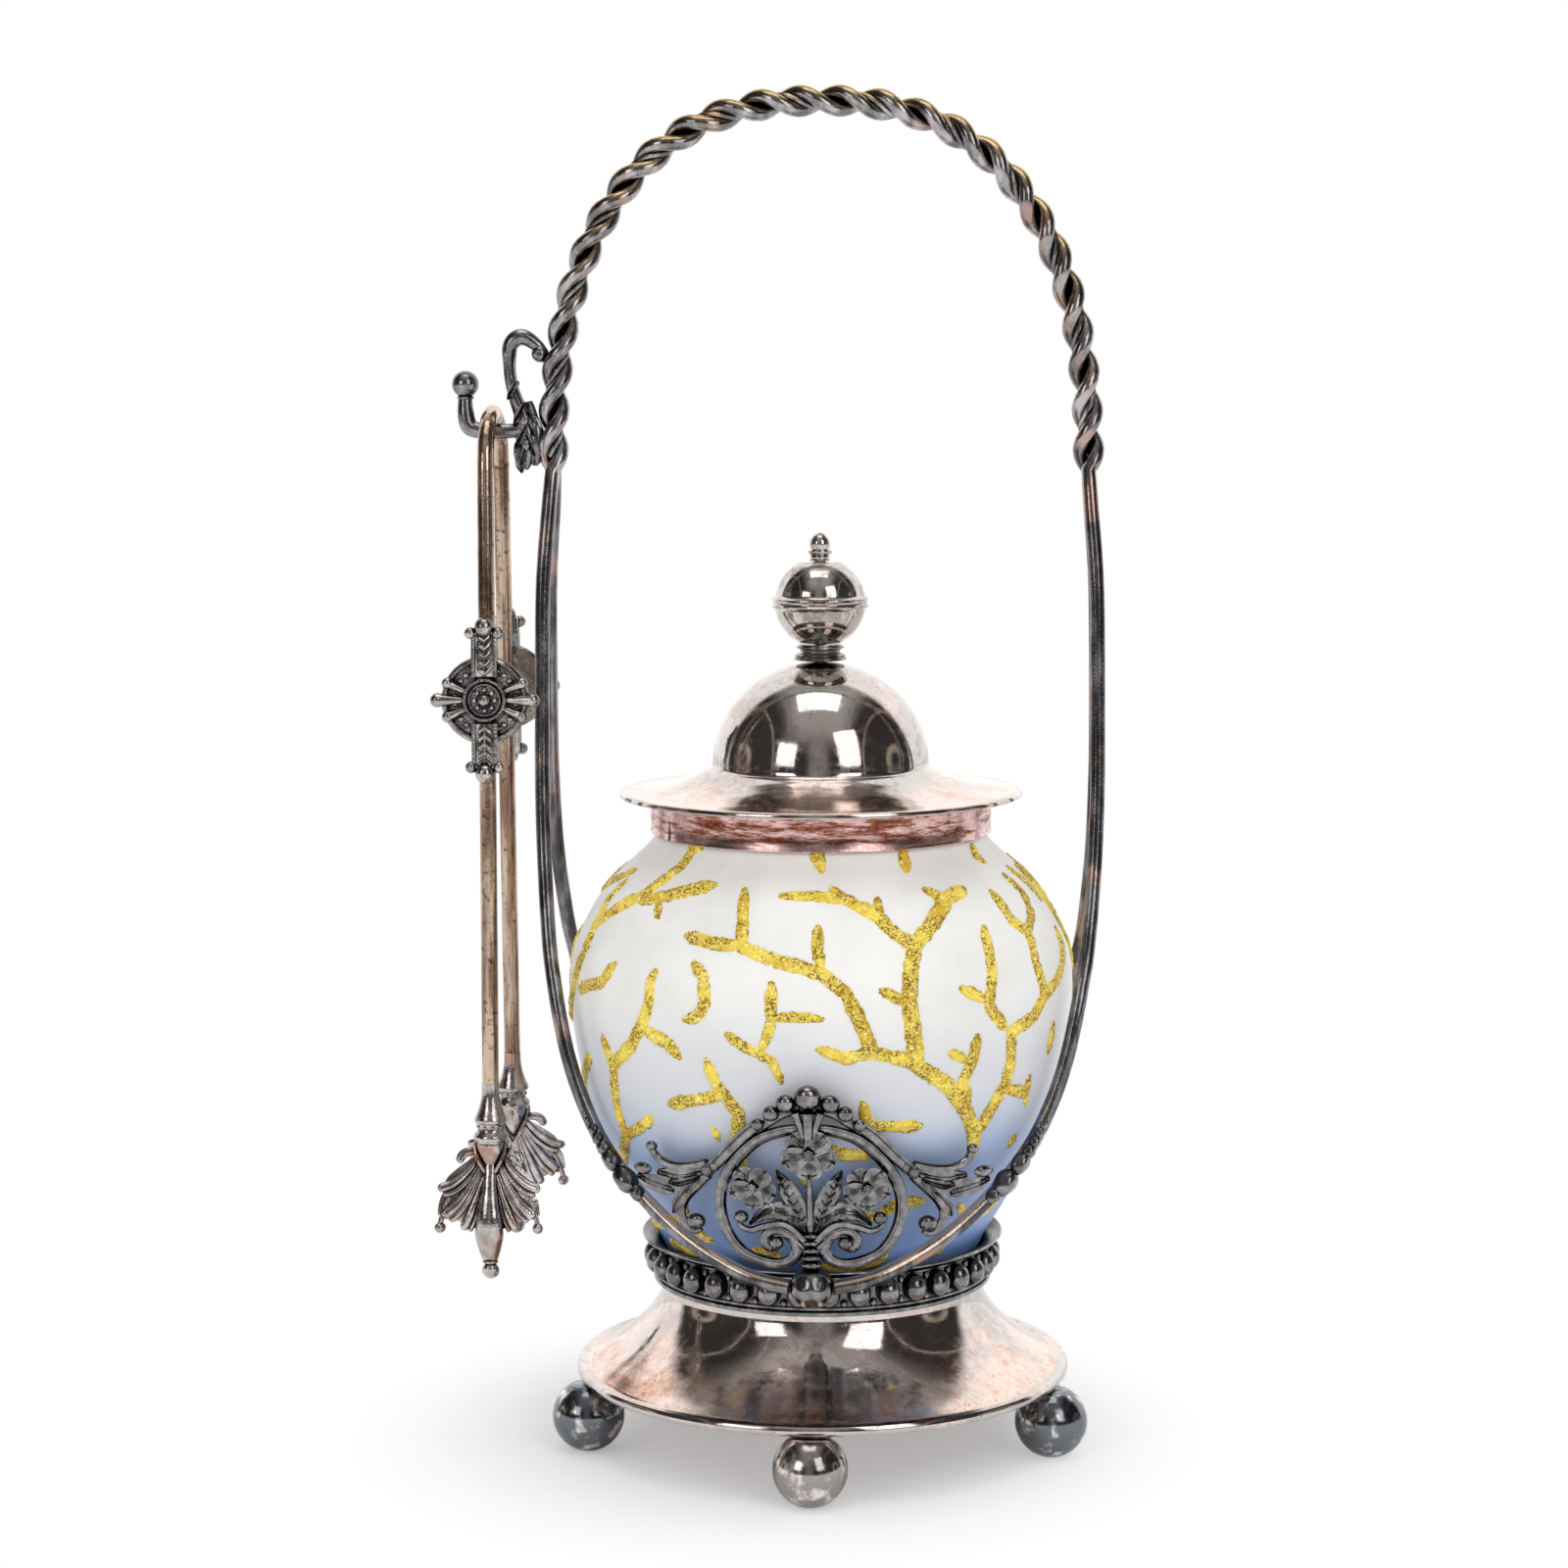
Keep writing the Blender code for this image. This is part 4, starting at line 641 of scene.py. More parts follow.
# Balls at each side: width share, height share, how far out, then what orb takes
KNUCKLE = (0.75, 1.0, 1.05)
SIDE_BALLS = (
    (0.375, 0.15, 0.4, 1.5, 16), (0.24, 1.19, 0.5, 2.0), (0.40, 1.115, 0.5, 1.72), (0.55, 1.03, 0.5, 1.35),
    (0.76, 0.33, 0.3, 1.45, 16), (1.755, 0.785, 0.7, 1.1, 14), (1.265, 0.262, 0.6, 1.74),
    (1.86, 0.60, 1.0, 1.5, 12, (1.2, 0.8, 0.9)), (1.04, 0.70, 0.3, 1.35, 14, KNUCKLE),
    (1.12, 0.664, 0.3, 1.7, 14, KNUCKLE), (1.20, 0.628, 0.3, 1.25, 14, KNUCKLE))
# Husks threaded on each rod: height, radius and length
HUSKS = ((60.6, 1.8, 1.2), (63.1, 2.7, 1.25), (66.8, 2.15, 1.3), (69.2, 1.75, 1.0), (71.1, 1.55, 1.0),
         (72.9, 1.4, 1.0), (74.6, 1.1, 1.2), (76.0, 0.85, 1.3))


def flat_at(wide, high, out=0.0):
    """A point of the flat ornament from shares of its half width and height."""
    return Vector((ORNAMENT_HALF * wide, -out, ORNAMENT_LOW + ORNAMENT_TALL * high))


def sized(rows, side=1.0):
    """Rows of width share, height share and thickness, as millimetres on one side."""
    return [(ORNAMENT_HALF * wide * side, ORNAMENT_LOW + ORNAMENT_TALL * high, thick)
            for wide, high, thick in rows]


def curved(shape):
    """Bend a flat shape round the jar, leaning out with its height."""
    for vert in shape.verts:
        reach = BOSS_REACH + ORNAMENT_LEAN * (vert.co.z - BOSS_HEIGHT)
        turn = math.asin(max(-1.0, min(1.0, vert.co.x / reach)))
        out = reach - vert.co.y
        vert.co.x, vert.co.y = out * math.sin(turn), -out * math.cos(turn)
    return shape


def leaf(spine, out=0.4, crease=0.45, lobes=0, cut=0.0, thick=0.7, rise=0.0):
    """A thin leaf along rows of x, z and half width, with a ridged middle and a lobed edge."""
    run = eased(spine, 8)
    rows = len(run) - 1
    shape = bmesh.new()
    bmesh.ops.create_grid(shape, x_segments=rows, y_segments=6, size=0.5)
    for vert in shape.verts:
        along = (vert.co.x + 0.5) * rows
        at = min(int(along + 0.001), rows - 1)
        here, there = Vector(run[at][:2]), Vector(run[at + 1][:2])
        side = vert.co.y * 2.0
        way = (there - here).normalized()
        wave = abs(math.sin(math.pi * lobes * along / rows + abs(side) * 0.9)) if lobes else 1.0
        half = (run[at][2] + (run[at + 1][2] - run[at][2]) * (along - at)) * (1.0 - cut * (1.0 - wave))
        spot = here.lerp(there, along - at) + Vector((-way.y, way.x)) * side * half
        ridge = crease * (1.0 - abs(side)) ** 1.3 + 0.22 * crease * math.cos(side * math.tau * 1.5)
        vert.co = (spot.x, -(out + ridge + rise * along / rows), spot.y)
    bmesh.ops.solidify(shape, geom=shape.faces[:], thickness=thick)
    return shape


def drawn(rows, out=0.0, rounds=3, flat=1.0, steps=6):
    """A tapering bar in an upright plane, along rows of x, z and radius."""
    run = eased(rows, steps)
    shape = tube([Vector((x, 0.0, z)) for x, z, _ in run], [radius for _, _, radius in run], rounds, flat)
    bmesh.ops.translate(shape, verts=shape.verts, vec=(0.0, -out, 0.0))
    return shape


def flower(wide, high, size):
    """Five rounded petals, hollowed and finely veined, round a granular eye."""
    middle = flat_at(wide, high)
    shapes = []
    for petal in range(5):
        lift = 0.07 * (petal % 2)
        turned = (Matrix.Translation(middle) @ Matrix.Rotation(math.tau * petal / 5 + math.pi, 4, "Y")
                  @ Matrix.Scale(size, 4))
        parts = [leaf([(0.0, 0.10, 0.16), (0.0, 0.30, 0.31), (0.0, 0.55, 0.44), (0.0, 0.78, 0.46),
                       (0.0, 0.95, 0.34), (0.0, 1.03, 0.10)], 0.14 + lift, -0.08, 0, 0.0, 0.13, 0.12)]
        for side in (-1.0, -0.5, 0.0, 0.5, 1.0):
            vein = [Vector((side * wide_at, -out - lift, along)) for wide_at, out, along in (
                (0.06, 0.15, 0.25), (0.15, 0.17, 0.50), (0.25, 0.22, 0.74))]
            parts.append(tube(vein, [0.030, 0.020, 0.004], 1))
        for part in parts:
            bmesh.ops.transform(part, verts=part.verts, matrix=turned)
        shapes += parts
    shapes.append(orb(middle + Vector((0.0, -1.0, 0.0)), size * 0.18, 12))
    for grain in range(7):
        turn = math.tau * grain / 7
        shapes.append(orb(middle + Vector((size * 0.14 * math.sin(turn), -1.0 - size * 0.13,
                                           size * 0.14 * math.cos(turn))), size * 0.06, 6))
    return shapes


def along_rod(height, side):
    """The rod's middle and its direction at a height, on the right or the left."""
    for low_at, high_at in zip(right_leg, right_leg[1:]):
        if low_at.z <= height <= high_at.z:
            spot = low_at.lerp(high_at, (height - low_at.z) / (high_at.z - low_at.z))
            way = (high_at - low_at).normalized()
            return Vector((spot.x * side, spot.y, spot.z)), Vector((way.x * side, way.y, way.z))


def husk(height, size, long, side):
    """A fluted bead on the rod."""
    spot, way = along_rod(height, side)
    shape = orb((0.0, 0.0, 0.0), size, 18, (0.9, 0.9, long))
    for vert in shape.verts:
        vert.co.xy *= 1.0 + 0.07 * math.cos(4.0 * math.atan2(vert.co.y, vert.co.x) + vert.co.z)
    bmesh.ops.transform(shape, verts=shape.verts, matrix=Matrix.Translation(
        spot + Vector((0.25 * side, -0.9, 0.0))) @ way.to_track_quat("Z", "Y").to_matrix().to_4x4())
    return shape


def ornament():
    """All the shapes of one ornament."""
    flats = flower(0.0, 0.825, 5.5) + [
        orb(flat_at(0.0, 1.235, 0.5), 2.75, 24), orb(flat_at(0.0, 1.215, 2.3), 1.1, 14, (1.0, 0.45, 1.0)),
        drawn(sized([(0.0, 0.94, 0.85), (0.0, 1.04, 1.0), (0.0, 1.13, 1.15)]), 1.6),
        drawn(sized([(0.0, 0.20, 0.8), (0.0, 0.50, 0.6), (0.0, 0.78, 0.5)]), 0.0, 2)]
    for ring in range(5):
        flats.append(orb(flat_at(0.0, -0.01 + 0.055 * ring, 0.3), 2.3 - 0.16 * ring, 18, (1.0, 0.85, 0.42)))
    for side in (1.0, -1.0):
        flats += flower(0.615 * side, 0.565, 4.75)
        flats += [drawn(sized(rows, side), *form) for rows, *form in SIDE_BARS]
        flats += [leaf(sized(rows, side), *form) for rows, *form in SIDE_LEAVES]
        flats += [orb(flat_at(wide * side, high, out), *form) for wide, high, out, *form in SIDE_BALLS]
        for vein in range(6):
            share = 0.15 + 0.13 * vein
            root = flat_at((0.03 + 0.33 * share) * side, 0.24 + 0.46 * share, 0.85)
            for lean in (-1.1, 1.1):
                flats.append(tube([root, root + Vector((lean + 0.4 * side, 0.35, 1.3))], [0.22, 0.08], 1))
    return [curved(shape) for shape in flats] + [husk(*row, side) for side in (1.0, -1.0) for row in HUSKS]


for which, place in (("front", FRONT), ("back", REAR)):
    piece_of(f"ornament_{which}_cast", ornament(), dark_cast, "stand", [f"ornament_{which}"], place)


# Hook bracket
# A small casting soldered to the left side of the rope: a bar that curls over to the rope, a leafy body
# that ends in a pendent tip, and a bent hook with a ball end that the tongs hang on.
bracket_plate = cast_plate("bracket_cast_plate", tint(40, 40, 42), tint(118, 116, 118), tint(184, 181, 183),
                           flat_face=True)
CURL = [(-58.6, 235.2, 1.0), (-60.2, 237.6, 1.35), (-63.1, 239.6, 1.75), (-65.3, 239.2, 1.8),
        (-66.5, 237.2, 1.6), (-66.55, 234.0, 1.35), (-66.3, 230.5, 1.3), (-65.2, 226.5, 1.5),
        (-63.7, 222.8, 1.9), (-63.0, 219.0, 2.1), (-62.8, 215.4, 1.7), (-62.9, 212.6, 0.9),
        (-63.1, 211.4, 0.3)]
CURL_RIDGE = [(-65.3, 237.0, 0.5), (-65.6, 233.0, 0.5), (-64.9, 228.5, 0.5), (-63.4, 224.5, 0.5)]
HOOK = [(-62.8, 220.2, 1.7), (-66.0, 219.75, 1.6), (-70.3, 219.73, 1.7), (-73.4, 219.9, 1.75),
        (-75.4, 220.8, 1.9), (-76.1, 223.6, 1.8), (-76.15, 226.6, 1.55), (-76.1, 229.6, 1.5)]
bracket = [drawn(CURL, 0.0, 5, 0.9), drawn(CURL_RIDGE, 0.0, 2, 3.1), drawn(HOOK, 0.0, 5)]
bracket += [orb((x, 0.0, z), *form) for x, z, *form in (
    (-76.1, 229.73, 2.88, 28), (-59.9, 236.2, 1.9, 16), (-59.9, 236.2, 0.9, 12, (1.0, 2.6, 1.0)),
    (-60.9, 217.3, 1.9, 16, (1.0, 0.9, 2.6)), (-76.1, 226.9, 1.85, 18, (1.0, 1.0, 0.35)))]
for side in (1.0, -1.0):
    lobes = [leaf([(*root, size * 0.5), ((root[0] + tip[0]) / 2, (root[1] + tip[1]) / 2, size), (*tip, 0.15)],
                  1.5, 0.5, 0, 0.0, 0.6, -0.3) for root, tip, size in (
        ((-63.3, 225.6), (-65.6, 221.6), 0.9), ((-63.2, 223.4), (-61.3, 219.2), 0.9),
        ((-63.0, 220.8), (-65.2, 216.6), 0.95), ((-62.9, 219.2), (-61.1, 214.8), 0.85),
        ((-62.9, 217.0), (-64.2, 212.9), 0.75), ((-64.9, 230.4), (-66.9, 227.0), 0.7))]
    lobes += [leaf(rows, 1.0, 0.45, 3, 0.15, 0.7, -0.4) for rows in (
        ((-62.6, 226.0, 0.8), (-61.5, 221.0, 1.7), (-61.0, 216.5, 1.8), (-61.3, 213.0, 0.6)),
        ((-63.4, 221.0, 1.0), (-64.0, 216.5, 1.7), (-64.3, 213.2, 1.2), (-64.1, 211.4, 0.2)))]
    for lobe in lobes:
        bmesh.ops.scale(lobe, vec=(1.0, side, 1.0), verts=lobe.verts)
    bracket += lobes + [orb((-63.2, -1.5 * side, 222.2), 1.1, 12, (1.0, 0.8, 1.3)),
                        orb((-62.9, -1.4 * side, 216.9), 1.0, 12, (0.9, 0.8, 1.5))]
piece_of("hook_bracket_cast", bracket, bracket_plate, "stand", ["hook_bracket"], FRONT)


# Tongs
# One length of round wire sprung into a bow, hung on the hook; a cast medallion is soldered outside
# each arm, and a turned ferrule joins each arm to its fluted claw. The wire is bronzed with handling.
TONG_SPLAY = math.radians(2.2)
BOW_RADIUS = 12.2
BOW_AT = Vector((AXIS.x / MM - 70.3, 0.0, 211.33))
WIRE_RADIUS = 1.8
ARM_LENGTH = 138.0
MEDAL_DROP = 48.2
MEDAL_BACK = 2.1
CLAW_START = 145.8
CLAW_REACH = 28.6
CLAW_BOW = 2.9
# The claw's lobes at each side: how far out, then rows of x, distance below the hinge and radius
CLAW_LOBES = (
    (0.3, (2.9, 147.0, 0.7), (5.2, 149.8, 0.8), (7.9, 152.0, 1.0), (10.1, 152.8, 1.0)),
    (0.15, (2.4, 148.2, 0.5), (4.6, 151.3, 0.6), (7.3, 153.6, 0.65), (9.3, 154.2, 0.6)),
    (0.35, (2.0, 148.8, 0.6), (4.2, 152.6, 0.75), (6.7, 156.2, 1.1), (8.9, 158.2, 1.35)),
    (0.2, (1.7, 149.6, 0.5), (3.6, 153.8, 0.6), (5.8, 157.6, 0.65), (7.9, 159.6, 0.7)),
    (0.1, (8.6, 155.0, 0.4), (9.8, 157.8, 0.5), (10.4, 160.2, 0.6)),
    (0.3, (1.2, 150.4, 0.6), (2.6, 154.5, 0.7), (4.1, 158.6, 1.0), (5.3, 161.1, 1.0)),
    (0.15, (0.9, 151.0, 0.45), (1.9, 155.5, 0.55), (3.0, 159.5, 0.6), (4.1, 161.9, 0.55)),
    (0.1, (2.6, 145.6, 0.8), (4.6, 145.5, 0.95), (6.0, 146.1, 1.0), (6.5, 147.0, 0.95)))
# Thin metal between the lobes: rows of x, distance below the hinge and half width
CLAW_WEBS = (((1.0, 148.0, 1.2), (3.0, 154.0, 2.5), (4.4, 158.5, 3.2), (5.2, 160.4, 3.0)),
             ((2.2, 147.4, 1.0), (5.4, 151.6, 2.2), (8.0, 155.8, 2.6), (9.6, 158.8, 1.6)),
             ((2.0, 146.6, 0.9), (5.0, 149.3, 1.5), (7.8, 151.7, 1.6), (9.2, 152.9, 0.9)))


def wire_finish():
    """Bronze-brown wire with streaks of dark tarnish and bright rubs."""
    material, spot = open_finish("tong_wire_bronze")
    streak = cloud(spot, 340.0, 5.0, 0.62, (1.0, 1.0, 0.10))
    spots = cloud(spot, 620.0, 4.0, 0.6)
    brown = blend(ramp(streak, 0.36, 0.60), tint(132, 106, 88), tint(214, 190, 168))
    dark = blend(ramp(spots, 0.56, 0.68) * 0.75, brown, tint(74, 54, 44))
    close_finish(spot, {"Base Color": dark, "Metallic": 1.0, "Roughness": 0.15 + ramp(spots, 0.5, 0.7) * 0.16,
                        "Normal": relief(spot, spots, 0.00003)})
    return material


tong_wire = wire_finish()
medal_plate = cast_plate("medallion_cast_plate", tint(38, 36, 38), tint(150, 146, 144), tint(226, 222, 218),
                         0.0010, flat_face=True)
claw_plate = cast_plate("claw_cast_plate", tint(58, 38, 34), tint(166, 158, 154), tint(232, 226, 222), 0.0016,
                        tint(176, 132, 112), True)
bow = [Vector((0.0, BOW_RADIUS * math.sin(turn), BOW_RADIUS * math.cos(turn)))
       for turn in [(math.pi + 0.04) * (step / 40 - 0.5) for step in range(41)]]
piece_of("tong_bow_wire", [tube(bow, [WIRE_RADIUS] * len(bow), 5)], tong_wire, "tongs", ["tong_bow"],
         Matrix.Translation(BOW_AT * MM))


def ball_ring(count, reach, height, radius, sides, squash=(1.0, 1.0, 1.0), start=0.0):
    """Balls evenly round the upright axis."""
    turns = [math.tau * (dot + start) / count for dot in range(count)]
    return [orb((reach * math.cos(turn), reach * math.sin(turn), height), radius, sides, squash)
            for turn in turns]


def ferrule():
    """A cone that flares to a rim, a dark ringed waist, and a bulb drawn down to a pointed shield."""
    outline = eased([(1.85, 130.6), (1.9, 133.0), (2.3, 135.2), (3.05, 137.4)], 4) + [
        (3.4, 138.2), (3.5, 138.7), (3.35, 139.1), (3.0, 139.3), (2.85, 139.7), (2.85, 140.9), (3.1, 141.3),
        (3.55, 141.7), (3.7, 142.3), (3.6, 142.9)] + eased([
            (3.4, 143.2), (3.45, 144.4), (3.05, 146.4), (1.9, 149.0), (0.4, 150.8)], 4) + [
                (0.0, 150.9), (0.0, 130.6)]
    shapes = [spun([(radius, -drop) for radius, drop in outline], 40)] + ball_ring(10, 2.75, -140.05, 0.42, 8)
    for front in (1.0, -1.0):
        for side in (1.0, -1.0):
            rim = eased([(3.3, 1.2, 143.4), (2.85, 2.3, 146.2), (1.45, 2.4, 149.0), (0.0, 1.6, 151.2)], 5)
            shapes.append(tube([Vector((x * side, -y * front, -drop)) for x, y, drop in rim],
                               [0.42] * len(rim), 2))
    return shapes


def lobe(rows, side, front, flat=0.75):
    """A ridged lobe of the claw with a round end, from rows of x, distance below the hinge and radius."""
    end_x, end_drop, end_radius = rows[-1]
    return [drawn([(x * side, -drop, radius) for x, drop, radius in rows], front, 4, flat, 5),
            orb((end_x * side, -front, -end_drop), end_radius, 12, (1.0, flat, 1.0))]


def claw():
    """A palmette: a broad smooth blade with a ball tip, and four ridged lobes at each side of it."""
    shapes = lobe([(0.0, 147.0, 1.4), (0.0, 152.0, 1.5), (0.0, 156.0, 2.1), (0.0, 159.5, 2.75),
                   (0.0, 163.0, 3.05), (0.0, 166.3, 2.35), (0.0, 168.6, 1.6)], 1.0, 0.9, 0.66)
    shapes += [orb((0.0, -0.9, -169.0), 1.75, 18, (1.0, 0.9, 0.35)), orb((0.0, -0.9, -171.0), 1.88)]
    for side in (1.0, -1.0):
        for front, *rows in CLAW_LOBES:
            shapes += lobe(rows, side, front)
        shapes.append(orb((10.5 * side, -0.2, -161.3), 1.18, 18))
        for rows in CLAW_WEBS:
            shapes.append(leaf([(x * side, -drop, half) for x, drop, half in rows], 0.15, 0.1, 0, 0.0, 0.35))
    for shape in shapes:
        for vert in shape.verts:
            share = max(0.0, min(1.0, (-vert.co.z - CLAW_START) / CLAW_REACH))
            vert.co.y -= CLAW_BOW * math.sin(math.pi * share) + 0.012 * vert.co.x ** 2
    return shapes + [orb((0.0, -0.4, -147.0), 2.6, 18, (1.0, 0.8, 1.1))]


def on_face(x, out, rise):
    """A point over the medallion's middle."""
    return Vector((x, -MEDAL_BACK - out, rise - MEDAL_DROP))


def medallion():
    """A beaded disc with a ringed hub, two bars with leaf relief and ball ends, and a fan at each side."""
    shapes = [spun([(0.0, 0.0), (9.0, 0.0), (9.4, 0.35), (9.4, 1.0), (9.1, 1.5), (8.7, 1.85), (8.3, 1.85),
                    (8.0, 1.45), (7.9, 0.9), (4.9, 0.9), (4.75, 2.3), (4.45, 2.75), (4.05, 2.75), (3.8, 2.3),
                    (3.6, 2.1), (3.4, 2.35), (3.15, 2.35), (2.95, 1.95), (0.0, 1.9)], 72)]
    shapes += ball_ring(24, 6.6, 0.95, 0.62, 8, (1.3, 1.0, 0.9), 0.5) + ball_ring(8, 2.15, 2.1, 0.62, 10)
    shapes.append(orb((0.0, 0.0, 2.4), 1.3, 18))
    for shape in shapes:
        bmesh.ops.transform(shape, verts=shape.verts, matrix=Matrix.Translation(on_face(0.0, 0.0, 0.0))
                            @ Matrix.Rotation(math.pi / 2, 4, "X"))
    for end in (1.0, -1.0):
        block = bmesh.new()
        bmesh.ops.create_cube(block, size=1.0, matrix=Matrix.Translation(on_face(0.0, 1.05, 10.1 * end))
                              @ Matrix.Diagonal((5.6, 2.1, 10.4, 1.0)))
        bmesh.ops.bevel(block, geom=block.edges[:], offset=0.35, segments=2, affect="EDGES", profile=0.5,
                        material=-1)
        shapes += [block, orb(on_face(0.0, 2.1, 15.5 * end), 2.08)]
        for side in (1.0, -1.0):
            rail = [on_face(2.35 * side, 2.1, at * end) for at in (4.9, 8.0, 11.5, 14.6)]
            shapes += [tube(rail, [0.5, 0.5, 0.5, 0.45], 2),
                       orb(on_face(2.95 * side, 1.9, 14.2 * end), 1.3, 18)]
            for sprig in range(5):
                root = on_face(0.0, 2.0, (5.6 + 1.75 * sprig) * end)
                shapes.append(tube([root, root + Vector((0.9 * side, -0.25, 0.75 * end)),
                                    root + Vector((1.55 * side, 0.1, 1.9 * end))], [0.42, 0.48, 0.12], 2))
        shapes.append(tube([on_face(0.0, 2.1, at * end) for at in (5.0, 10.0, 14.6)], [0.35, 0.35, 0.2], 1))
        for lean, reach, size in ((-24.0, 10.0, 1.3), (0.0, 11.7, 1.55), (24.0, 10.0, 1.3)):
            way = Vector((math.cos(math.radians(lean)) * end, 0.0, math.sin(math.radians(lean))))
            fan = [(4.4, 0.6), (6.5, size * 0.60), (8.0, size * 0.82), (reach - size, size)]
            points = [on_face(0.0, 1.5, 0.0) + way * at for at, _ in fan]
            shapes += [tube(points, [radius for _, radius in fan], 4), orb(points[-1], size, 16)]
        crown = eased([(-2.75, 13.2), (-1.7, 14.3), (0.0, 15.6), (1.7, 14.3), (2.75, 13.2)], 4)
        shapes.append(tube([on_face(x, 2.15, at * end) for x, at in crown], [0.4] * len(crown), 2))
    return shapes


for which, side, turn in (("near", 1.0, 0.0), ("far", -1.0, math.pi)):
    hinge = (Matrix.Translation((BOW_AT + Vector((0.0, -BOW_RADIUS * side, 0.0))) * MM)
             @ Matrix.Rotation(turn, 4, "Z") @ Matrix.Rotation(-TONG_SPLAY, 4, "X"))
    arm = [Vector((0.0, 0.0, -drop)) for drop in (0.0, 0.5, 40.0, 80.0, 120.0, ARM_LENGTH)]
    for part, making, shapes, finish, crease in (
            ("arm", "wire", [tube(arm, [WIRE_RADIUS] * len(arm), 5)], tong_wire, 40.0),
            ("ferrule", "turned", ferrule(), claw_plate, 40.0), ("claw", "cast", claw(), claw_plate, 50.0),
            ("medallion", "cast", medallion(), medal_plate, 40.0)):
        piece_of(f"tong_{part}_{which}_{making}", shapes, finish, f"{which}_arm", [f"tong_{part}_{which}"],
                 hinge, crease)


# Glass jar
# A blown jar of opaque satin glass that stands in the gallery: a small foot, a round body and a short
# neck. It is white at the top and shades through grey to blue at its foot.
JAR_FOOT, JAR_RIM = 37.385, 140.985
FOOT_HALF, BELLY_HALF, MOUTH_HALF = 30.0, 54.5, 35.2
BODY_TALL = 96.4
GLASS_WALL = 2.6
body_rows = [(FOOT_HALF + (BELLY_HALF - FOOT_HALF) * swell, JAR_FOOT + BODY_TALL * rise) for swell, rise in (
    (0.08, 0.013), (0.15, 0.043), (0.20, 0.070), (0.25, 0.096), (0.40, 0.158), (0.53, 0.220), (0.70, 0.306),
    (0.84, 0.399), (0.925, 0.483), (0.983, 0.577), (1.0, 0.645), (0.984, 0.710))]
shoulder_rows = [(MOUTH_HALF + (BELLY_HALF - MOUTH_HALF) * swell, JAR_FOOT + BODY_TALL * rise)
                 for swell, rise in ((0.915, 0.758), (0.71, 0.839), (0.51, 0.892), (0.29, 0.934),
                                     (0.10, 0.970), (0.0, 1.0))]
jar_outside = eased([(FOOT_HALF, JAR_FOOT)] + body_rows + shoulder_rows, 4)
jar_inside = [(radius - GLASS_WALL, max(height, JAR_FOOT + GLASS_WALL))
              for radius, height in jar_outside[4::4]]


def glass_finish():
    """Satin opaque glass, white above and blue below, with soft smears of grey in the white."""
    material, spot = open_finish("satin_blue_white_glass")
    level_at = part_of(spot, "Z") + (cloud(spot, 26.0, 3.0, 0.5) - 0.5) * 0.016
    white = blend(ramp(cloud(spot, 48.0, 4.0, 0.55), 0.40, 0.68), tint(238, 237, 233), tint(228, 227, 222))
    grey = blend(ramp(level_at, 0.108, 0.082), white, tint(210, 212, 218))
    blue = blend(ramp(level_at, 0.086, 0.066), grey, tint(156, 178, 216))
    deep = blend(ramp(level_at, 0.066, 0.044), blue, tint(116, 146, 202))
    grain = cloud(spot, 2400.0, 2.0)
    close_finish(spot, {"Base Color": deep, "Roughness": 0.36 + grain * 0.06,
                        "Normal": relief(spot, grain, 0.00002)})
    return material


jar_shape = spun([(0.0, JAR_FOOT + 0.4), (27.0, JAR_FOOT + 0.3)] + jar_outside + [
    (MOUTH_HALF, JAR_RIM - 0.6), (34.8, JAR_RIM), (33.0, JAR_RIM), (MOUTH_HALF - GLASS_WALL, JAR_RIM - 0.6)]
    + jar_inside[::-1] + [(0.0, JAR_FOOT + GLASS_WALL)], 128)
piece_of("jar_blown", [jar_shape], glass_finish(), "jar", ["jar"])


